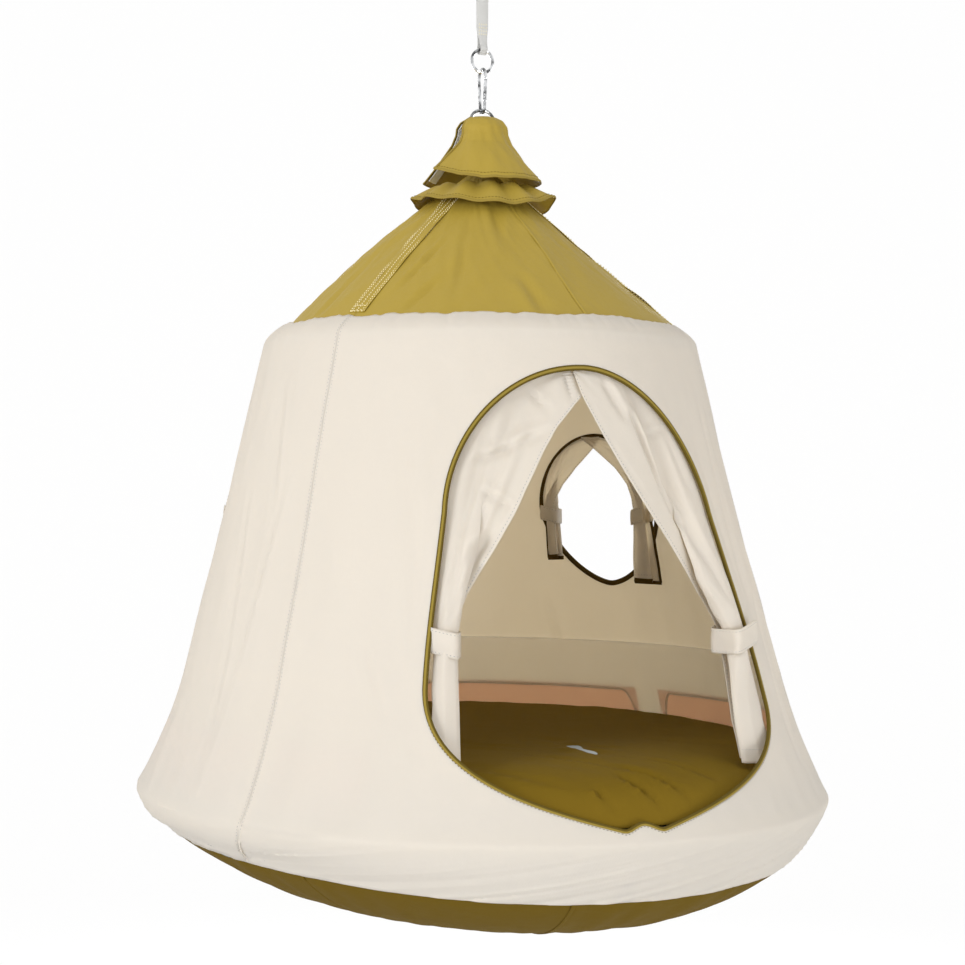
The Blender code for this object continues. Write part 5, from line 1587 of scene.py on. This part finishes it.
def bag_surface(angle, down, lift=0.0):
    """A point of the base bag: down goes from its top edge behind the skirt to its middle."""
    angle, down = together(angle, down)
    rim = float(wall_radius(-SKIRT_DROP))
    height_up = mix(-0.018, -SKIRT_DROP, np.clip(down / BAG_SKIRT_SHARE, 0.0, 1.0))
    inner = np.clip((down - BAG_SKIRT_SHARE) / (1.0 - BAG_SKIRT_SHARE), 0.0, 1.0)
    tuck = np.minimum(wall_folds(angle, np.full_like(height_up, -SKIRT_DROP)), 0.0) * (1.0 - inner) ** 4
    radius = np.where(down <= BAG_SKIRT_SHARE, skirt_inner(angle, height_up),
                      (rim - CLOTH - BAG_CLEARANCE) * (1.0 - inner) + tuck)
    share = np.clip(radius / rim, 0.0, 1.0)
    height = np.where(down <= BAG_SKIRT_SHARE, height_up,
                      -BAG_SAG + (BAG_SAG - SKIRT_DROP) * share ** BAG_BELLY_POWER)
    folds = 0.004 * crumple(angle, 0.2 * down, 0.030, 0.3, 121.0) * share ** 2 * ease(down / 0.2)
    folds = folds + 0.002 * crumple(angle, 0.3 * down, 0.07, 0.3, 125.0) * share
    steep = share ** 3
    out = folds + lift
    return settle(radius + out * steep, angle, height - out * (1.0 - 0.5 * steep))


def disc_piece(name, grid, centre, material, upward):
    """A round cloth from rings of points and one point in its middle."""
    rows, columns = grid.shape[:2]
    points = np.concatenate([grid.reshape(-1, 3), np.asarray(centre).reshape(1, 3)])
    faces = grid_faces(rows, columns, closed=True, flip=upward)
    last = (rows - 1) * columns
    hub = len(points) - 1
    for column in range(columns):
        following = (column + 1) % columns
        pair = (last + column, last + following, hub)
        faces.append(pair if upward else pair[::-1])
    item = mesh_piece(name, points, faces, points[:, :2].copy(), material)
    thicken(item)
    return item


def make_floor(angles):
    """The floor cover, stretched over the air cushion to the lower hoop."""
    radii = FLOOR_RADIUS * np.append(np.linspace(0.0, 0.9, 46)[1:], np.linspace(0.91, 1.0, 14))
    grid = floor_surface(angles[None, :], radii[::-1, None])
    floor = disc_piece("floor_cover_canvas", grid, floor_surface(0.0, 0.0), base_olive(), True)
    dress(floor, "tent", "floor_cover", slot="olive")


def make_bag(angles):
    """The bag below the floor, with its eight seams."""
    upper = np.linspace(0.0, BAG_SKIRT_SHARE, 12)[:-1]
    downs = np.append(upper, np.linspace(BAG_SKIRT_SHARE, 1.0, 50)[:-1])
    grid = bag_surface(angles[None, :], downs[:, None])
    bag = disc_piece("base_bag_canvas", grid, bag_surface(0.0, 1.0), shaded_bag_olive(), False)
    dress(bag, "tent", "base_bag", slot="olive")
    along = np.linspace(0.10, 0.97, 100)
    for index in range(8):
        seam = BAG_SEAM_TURN + math.tau * index / 8
        trim(f"bag_seam_{index + 1}", surface_line(bag_surface, seam, along, 0.0002), 0.006, 0.0012,
             shaded_bag_olive(), "olive")


def make_base():
    """The floor cover, the bag below it, and the cushion between them."""
    angles = np.linspace(0.0, math.tau, 361)[:-1]
    make_floor(angles)
    make_bag(angles)
    make_cushion()


def welded(radius):
    """How deep the cushion's skin sinks at its welded rings."""
    return sum(WELD_DEPTH * bump(radius, weld, WELD_WIDTH) for weld in WELDS)


def cushion_outline():
    """Half of the cushion's section as (radius, height): its top, its waist and its belly."""
    side = LOWER_HOOP_RADIUS - LOWER_TUBE - 0.0012
    rim = float(wall_radius(-SKIRT_DROP))
    rows = []
    for share in np.linspace(0.0, 1.0, 60):
        radius = max(CUSHION_HUB, (side - 0.010) * share)
        rows.append((radius, float(floor_height(radius)) - CUSHION_SKIN - 0.004 - welded(radius)))
    top = rows[-1][1]
    for share in np.linspace(0.1, 0.9, 9):
        radius = side - 0.006 * math.sin(math.pi * share)
        rows.append((radius - 0.003, mix(top - 0.006, CUSHION_WAIST, share)))
    for share in np.linspace(1.0, 0.0, 50):
        radius = max(CUSHION_HUB, (rim - 0.012) * share)
        height = -BAG_SAG + (BAG_SAG - SKIRT_DROP) * (radius / rim) ** BAG_BELLY_POWER
        rows.append((radius, height + CUSHION_SKIN + 0.006 + welded(radius)))
    return rows


def make_cushion():
    """The round air cushion: crowned, drawn in at its waist, with welded rings."""
    angles = np.linspace(0.0, math.tau, 181)[:-1]
    grid = np.stack([settle(radius, angles, height) for radius, height in cushion_outline()])
    item = grid_closed("air_cushion_bladder", grid,
                       kept("cushion_vinyl", vinyl_material, colours().vinyl))
    dress(item, "tent", "air_cushion", slot="vinyl")
    held = []
    for index, vertex in enumerate(item.data.vertices):
        radius = math.hypot(vertex.co.x, vertex.co.y)
        if min(abs(radius - weld) for weld in WELDS) < WELD_DEPTH:
            held.append(index)
    blow_up(item, held)


def blow_up(item, welds):
    """Fill a closed bag with air by cloth simulation; its welds stay, and no point goes far."""
    scene = bpy.context.scene
    group = item.vertex_groups.new(name="welds")
    group.add(welds, 1.0, 'REPLACE')
    before = np.array([vertex.co for vertex in item.data.vertices])
    air = item.modifiers.new("air", 'CLOTH')
    air.settings.vertex_group_mass = group.name
    air.settings.use_pressure = True
    air.settings.uniform_pressure_force = AIR_PRESSURE
    air.settings.effector_weights.gravity = 0.0
    air.settings.quality = 4
    air.collision_settings.use_collision = False
    air.point_cache.frame_start = 1
    air.point_cache.frame_end = AIR_FRAMES
    for number in range(1, AIR_FRAMES + 1):
        scene.frame_set(number)
    graph = bpy.context.evaluated_depsgraph_get()
    after = np.array([vertex.co for vertex in item.evaluated_get(graph).data.vertices])
    move = after - before
    length = np.linalg.norm(move, axis=1, keepdims=True)
    move = move * np.minimum(1.0, AIR_REACH / np.maximum(length, 1e-9))
    item.modifiers.remove(air)
    item.data.vertices.foreach_set("co", (before + move).ravel())
    item.data.update()
    scene.frame_set(1)


def grid_closed(name, grid, material):
    """A closed bag from rings, capped at both ends."""
    rows, columns = grid.shape[:2]
    faces = grid_faces(rows, columns, closed=True, flip=True)
    faces = [tuple(reversed(face)) for face in faces]
    faces.append(tuple(range(columns))[::-1])
    faces.append(tuple((rows - 1) * columns + column for column in range(columns)))
    return mesh_piece(name, grid.reshape(-1, 3), faces, None, material)


# Sling, hardware, crown and hoops

SLING_PINCH = 0.62
SLING_TOP = -0.0080
SLING_EYE = 0.0088
RING_EYE = 0.0075
SLING_PLY = 0.0010
SLING_WIDTH = 0.020


def eye(radius, height, start, end):
    """An arc of the sling's path round an eye, as (across, height)."""
    turns = [math.radians(degrees) for degrees in range(start, end, 12)]
    return [(radius * math.cos(turn), height + radius * math.sin(turn)) for turn in turns]


def make_sling():
    """The woven sling that the tent hangs by, sewn into an eye at each end."""
    foot = middle("upper_ring").z + UPPER_RING_RADIUS
    path = eye(RING_EYE, foot, -210, 31)
    path += [(SLING_PLY, foot + 0.024), (SLING_PLY, SLING_TOP - 0.028)]
    path += eye(SLING_EYE, SLING_TOP, -30, 211)
    path += [(-SLING_PLY, SLING_TOP - 0.028), (-SLING_PLY, foot + 0.024)]
    line = closed_resample(np.array([(0.0, y, z) for y, z in path]), 0.0015)
    inside = np.cross(np.roll(line, -1, axis=0) - line, np.array([[1.0, 0.0, 0.0]]))
    item = sweep("hanging_sling", line, inside, tape_section(SLING_WIDTH, 0.0016, 4), sling_web(),
                 closed=True)
    for vertex in item.data.vertices:
        vertex.co.x *= mix(SLING_PINCH, 1.0, float(ease((vertex.co.z - foot - 0.004) / 0.035)))
    dress(item, "hanger", "hanging_strap", slot="webbing")
    stitching = Stitching()
    heights = np.linspace(foot + 0.022, foot + 0.046, 12)
    for across in (-0.006, -0.002, 0.002, 0.006):
        for facing in (-1.0, 1.0):
            row = np.stack([np.full_like(heights, across), np.full_like(heights, facing * 0.0019),
                            heights], axis=1)
            stitching.row(row, np.tile([[0.0, facing, 0.0]], (len(row), 1)))
    dress(stitching.piece("sling_stitching", thread()), "hanger")


def refinish(node, material):
    """A new finish for a part of the frame, with its facets rounded off."""
    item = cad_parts[node]
    item.data.materials.clear()
    item.data.materials.append(material)
    item.data.shade_smooth()
    item.data.set_sharp_from_angle(angle=math.radians(50.0))
    return item


def make_hardware():
    """Finish of the rings, the snap hook, its gate, pin and spring."""
    for node in ("upper_ring", "lower_ring", "snap_hook", "hook_gate", "gate_pin", "gate_spring"):
        refinish(node, zinc())


def make_hoops():
    """Finish of the hoops' tubes and the valve."""
    for number in range(1, 4):
        refinish(f"upper_hoop_{number}", hoop_steel())
    for number in range(1, 5):
        refinish(f"lower_hoop_{number}", hoop_steel())
    refinish("cushion_valve", vinyl_material("valve_plastic", (0.8, 0.8, 0.78)))


STRAP_WIDTH = 0.025
STRAP_THICKNESS = 0.0015
STRAP_INSET = 0.00145
STRAP_ROOF_GAP = 0.0024
STRAP_CORE = 0.0105


def strap_line():
    """A load strap's middle line as (radius, height): crown, roof, hoop, wall and lower hoop."""
    half = STRAP_THICKNESS / 2
    slope = math.hypot(1.0, ROOF_SLOPE)
    under = CLOTH + STRAP_ROOF_GAP + 0.0034 + half
    top = CROWN_PATCH_FOOT - GAP
    path = [(STRAP_CORE, top), (STRAP_CORE, top - 0.015)]
    for radius in (0.033, 0.12, 0.22, ROOF_EAVE_RADIUS - 0.020):
        path.append((radius - under * ROOF_SLOPE / slope, roof_height(radius) - under / slope))
    hug = UPPER_TUBE + GAP + half
    hoop_height = SHOULDER - UPPER_TUBE
    for degrees in (62.0, 50.0, 40.0, 30.0, 20.0, 10.0, 0.0):
        turn = math.radians(degrees)
        path.append((UPPER_HOOP_RADIUS + hug * math.cos(turn), hoop_height + hug * math.sin(turn)))
    for height in (0.66, 0.60, 0.54, 0.48, 0.40, 0.32, 0.24, 0.180, 0.130, 0.090, 0.060, 0.035, 0.015):
        path.append((float(wall_radius(height)) - CLOTH - STRAP_INSET - half, height))
    hug = LOWER_TUBE + GAP * 1.5 + half
    for step in range(13):
        turn = math.radians(-90.0 * step / 12)
        path.append((LOWER_HOOP_RADIUS + hug * math.cos(turn), hug * math.sin(turn)))
    return path


def strap_grid(turn):
    """A load strap as rows down its length, pushed in where the wall's cloth lies on it."""
    columns = []
    for reach in np.linspace(-STRAP_WIDTH / 2, STRAP_WIDTH / 2, 9):
        line = []
        for radius, height in strap_line():
            angle = turn + reach / max(radius, 0.05)
            on_wall = 0.01 < height < SHOULDER - 0.03
            give = min(0.0, float(wall_folds(angle, height))) - 0.0004 if on_wall else 0.0
            line.append(settle(radius + give, angle, height))
        columns.append(line)
    return np.array(columns).transpose(1, 0, 2)


def make_crown():
    """The folded loop on the ring, the patch, and the three load straps down to the lower hoop."""
    for node in ("crown_loop", "crown_patch"):
        refinish(node, webbing())
    for index in range(3):
        grid = strap_grid(SEAM_TURN + PANEL_SPAN * index)
        item = grid_piece(f"load_strap_{index + 1}_webbing", grid, webbing(),
                          thickness=STRAP_THICKNESS, offset=0.0)
        dress(item, "tent", f"load_strap_{index + 1}", slot="webbing")


# Stage

STAGE_WIDTH = 18.0
STAGE_FRONT = -7.0
COVE_START = 3.6
COVE_RADIUS = 1.4
WALL_BACK = 5.0
WALL_HEIGHT = 7.0
LAMP_AIM = (0.0, 0.0, -0.8)


def make_backdrop(setting):
    """Paper on the floor that curves up into a wall behind the tent."""
    floor_level = CAD_BOX[0].z - setting.floor_drop
    rows = [(STAGE_FRONT, 0.0)]
    for step in range(17):
        turn = math.radians(90.0 * step / 16)
        rows.append((COVE_START + COVE_RADIUS * math.sin(turn), COVE_RADIUS * (1.0 - math.cos(turn))))
    rows.append((WALL_BACK, WALL_HEIGHT))
    away = Vector((-math.sin(setting.azimuth), math.cos(setting.azimuth), 0.0))
    right = Vector((math.cos(setting.azimuth), math.sin(setting.azimuth), 0.0))
    points = []
    for depth, rise in rows:
        for reach in (-STAGE_WIDTH / 2, STAGE_WIDTH / 2):
            points.append(away * depth + right * reach + Vector((0.0, 0.0, floor_level + rise)))
    faces = [(2 * row, 2 * row + 1, 2 * row + 3, 2 * row + 2) for row in range(len(rows) - 1)]
    mesh_piece("backdrop", points, faces, None, backdrop_material())


def make_sky(scene, level):
    """Even light from all round, which the camera sees as white."""
    scene.world = scene.world or bpy.data.worlds.new("studio")
    nodes = Nodes(scene.world, "ShaderNodeOutputWorld")
    light = nodes.add("ShaderNodeBackground", {"Color": (1.0, 0.99, 0.97, 1.0), "Strength": level})
    white = nodes.add("ShaderNodeBackground", {"Color": (1.0, 1.0, 1.0, 1.0), "Strength": 1.0})
    nodes.show(nodes.add("ShaderNodeMixShader", {0: nodes.seen(), 1: light.outputs[0],
                                                 2: white.outputs[0]}))


def make_lamp(name, place, size, power):
    data = bpy.data.lights.new(name, 'AREA')
    data.shape = 'DISK'
    data.size = size
    data.energy = power
    lamp = bpy.data.objects.new(name, data)
    bpy.context.scene.collection.objects.link(lamp)
    lamp.location = place
    aim = Vector(LAMP_AIM) - Vector(place)
    lamp.rotation_euler = aim.to_track_quat('-Z', 'Y').to_euler()


def make_camera(scene, setting):
    data = bpy.data.cameras.new("camera")
    data.lens = setting.lens
    data.sensor_width = 36.0
    data.shift_y = setting.shift
    camera = bpy.data.objects.new("camera", data)
    scene.collection.objects.link(camera)
    camera.location = setting.eye
    camera.rotation_euler = (math.radians(90.0), 0.0, setting.azimuth)
    scene.camera = camera


def make_stage():
    """A pale floor and backdrop, soft lamps and the camera."""
    scene = bpy.context.scene
    setting = scene.tent_stage
    scene.view_settings.view_transform = 'Standard'
    make_backdrop(setting)
    make_sky(scene, setting.sky)
    make_lamp("key_lamp", (-3.4, -1.7, 0.0), 1.4, setting.key)
    make_lamp("back_lamp", (1.6, 3.2, -0.3), 2.2, setting.back)
    make_lamp("fill_lamp", (0.8, -3.1, -2.1), 1.6, setting.fill)
    make_camera(scene, setting)


# Operators, panel and registration

class TENT_OT_stage(bpy.types.Operator):
    """Add the floor, backdrop, lamps and camera"""
    bl_idname = "tent.stage"
    bl_label = "Stage"

    def execute(self, context):
        make_stage()
        return {'FINISHED'}


class TENT_OT_sling(bpy.types.Operator):
    """Add the woven sling that the tent hangs by"""
    bl_idname = "tent.sling"
    bl_label = "Sling"

    def execute(self, context):
        make_sling()
        return {'FINISHED'}


class TENT_OT_hardware(bpy.types.Operator):
    """Finish the rings and the snap hook in zinc plate"""
    bl_idname = "tent.hardware"
    bl_label = "Rings and hook"

    def execute(self, context):
        make_hardware()
        return {'FINISHED'}


class TENT_OT_crown(bpy.types.Operator):
    """Add the crown loop, the patch and the load straps"""
    bl_idname = "tent.crown"
    bl_label = "Crown and load straps"

    def execute(self, context):
        make_crown()
        return {'FINISHED'}


class TENT_OT_hoops(bpy.types.Operator):
    """Finish the hoops' tubes and the valve"""
    bl_idname = "tent.hoops"
    bl_label = "Hoops"

    def execute(self, context):
        make_hoops()
        return {'FINISHED'}


class TENT_OT_cap(bpy.types.Operator):
    """Add the cap over the lower ring and the ruffle under it"""
    bl_idname = "tent.cap"
    bl_label = "Cap and ruffle"

    def execute(self, context):
        make_cap()
        make_ruffle()
        return {'FINISHED'}


class TENT_OT_roof(bpy.types.Operator):
    """Add the roof's gores, seams and stitching"""
    bl_idname = "tent.roof"
    bl_label = "Roof"

    def execute(self, context):
        make_roof()
        return {'FINISHED'}


class TENT_OT_walls(bpy.types.Operator):
    """Add the wall panels with their seams and hems"""
    bl_idname = "tent.walls"
    bl_label = "Walls"

    def execute(self, context):
        make_walls()
        return {'FINISHED'}


class TENT_OT_bindings(bpy.types.Operator):
    """Bind the edges of the door and the windows"""
    bl_idname = "tent.bindings"
    bl_label = "Bindings"

    def execute(self, context):
        make_bindings()
        return {'FINISHED'}


class TENT_OT_curtains(bpy.types.Operator):
    """Hang the curtains and tie them back"""
    bl_idname = "tent.curtains"
    bl_label = "Curtains and ties"

    def execute(self, context):
        make_curtains()
        return {'FINISHED'}


class TENT_OT_lining(bpy.types.Operator):
    """Add the lining flap round the foot of the wall"""
    bl_idname = "tent.lining"
    bl_label = "Lining flap"

    def execute(self, context):
        make_lining()
        return {'FINISHED'}


class TENT_OT_base(bpy.types.Operator):
    """Add the floor cover, the air cushion and the base bag"""
    bl_idname = "tent.base"
    bl_label = "Floor, cushion and bag"

    def execute(self, context):
        make_base()
        return {'FINISHED'}


OPERATORS = (TENT_OT_stage, TENT_OT_sling, TENT_OT_hardware, TENT_OT_crown, TENT_OT_hoops,
             TENT_OT_cap, TENT_OT_roof, TENT_OT_walls, TENT_OT_bindings, TENT_OT_curtains,
             TENT_OT_lining, TENT_OT_base)


class TENT_PT_sidebar(bpy.types.Panel):
    """Sizes, colours and pieces of the hanging swing tent"""
    bl_idname = "TENT_PT_sidebar"
    bl_label = "Swing Tent"
    bl_space_type = 'VIEW_3D'
    bl_region_type = 'UI'
    bl_category = "Swing Tent"

    def draw(self, context):
        layout = self.layout
        for group in (context.scene.tent_cloth, context.scene.tent_colours, context.scene.tent_stage):
            box = layout.box()
            for key in group.bl_rna.properties.keys():
                if key not in ("rna_type", "name"):
                    box.prop(group, key)
        column = layout.column(align=True)
        for operator in OPERATORS:
            column.operator(operator.bl_idname)


CLASSES = (TentCloth, TentColours, TentStage, *OPERATORS, TENT_PT_sidebar)


def register():
    for item in CLASSES:
        bpy.utils.register_class(item)
    bpy.types.Scene.tent_cloth = PointerProperty(type=TentCloth)
    bpy.types.Scene.tent_colours = PointerProperty(type=TentColours)
    bpy.types.Scene.tent_stage = PointerProperty(type=TentStage)


def unregister():
    del bpy.types.Scene.tent_stage
    del bpy.types.Scene.tent_colours
    del bpy.types.Scene.tent_cloth
    for item in reversed(CLASSES):
        bpy.utils.unregister_class(item)


def main():
    register()
    for operator in OPERATORS:
        name = operator.bl_idname.split(".")[1]
        getattr(bpy.ops.tent, name)()


if __name__ == "__main__":
    main()
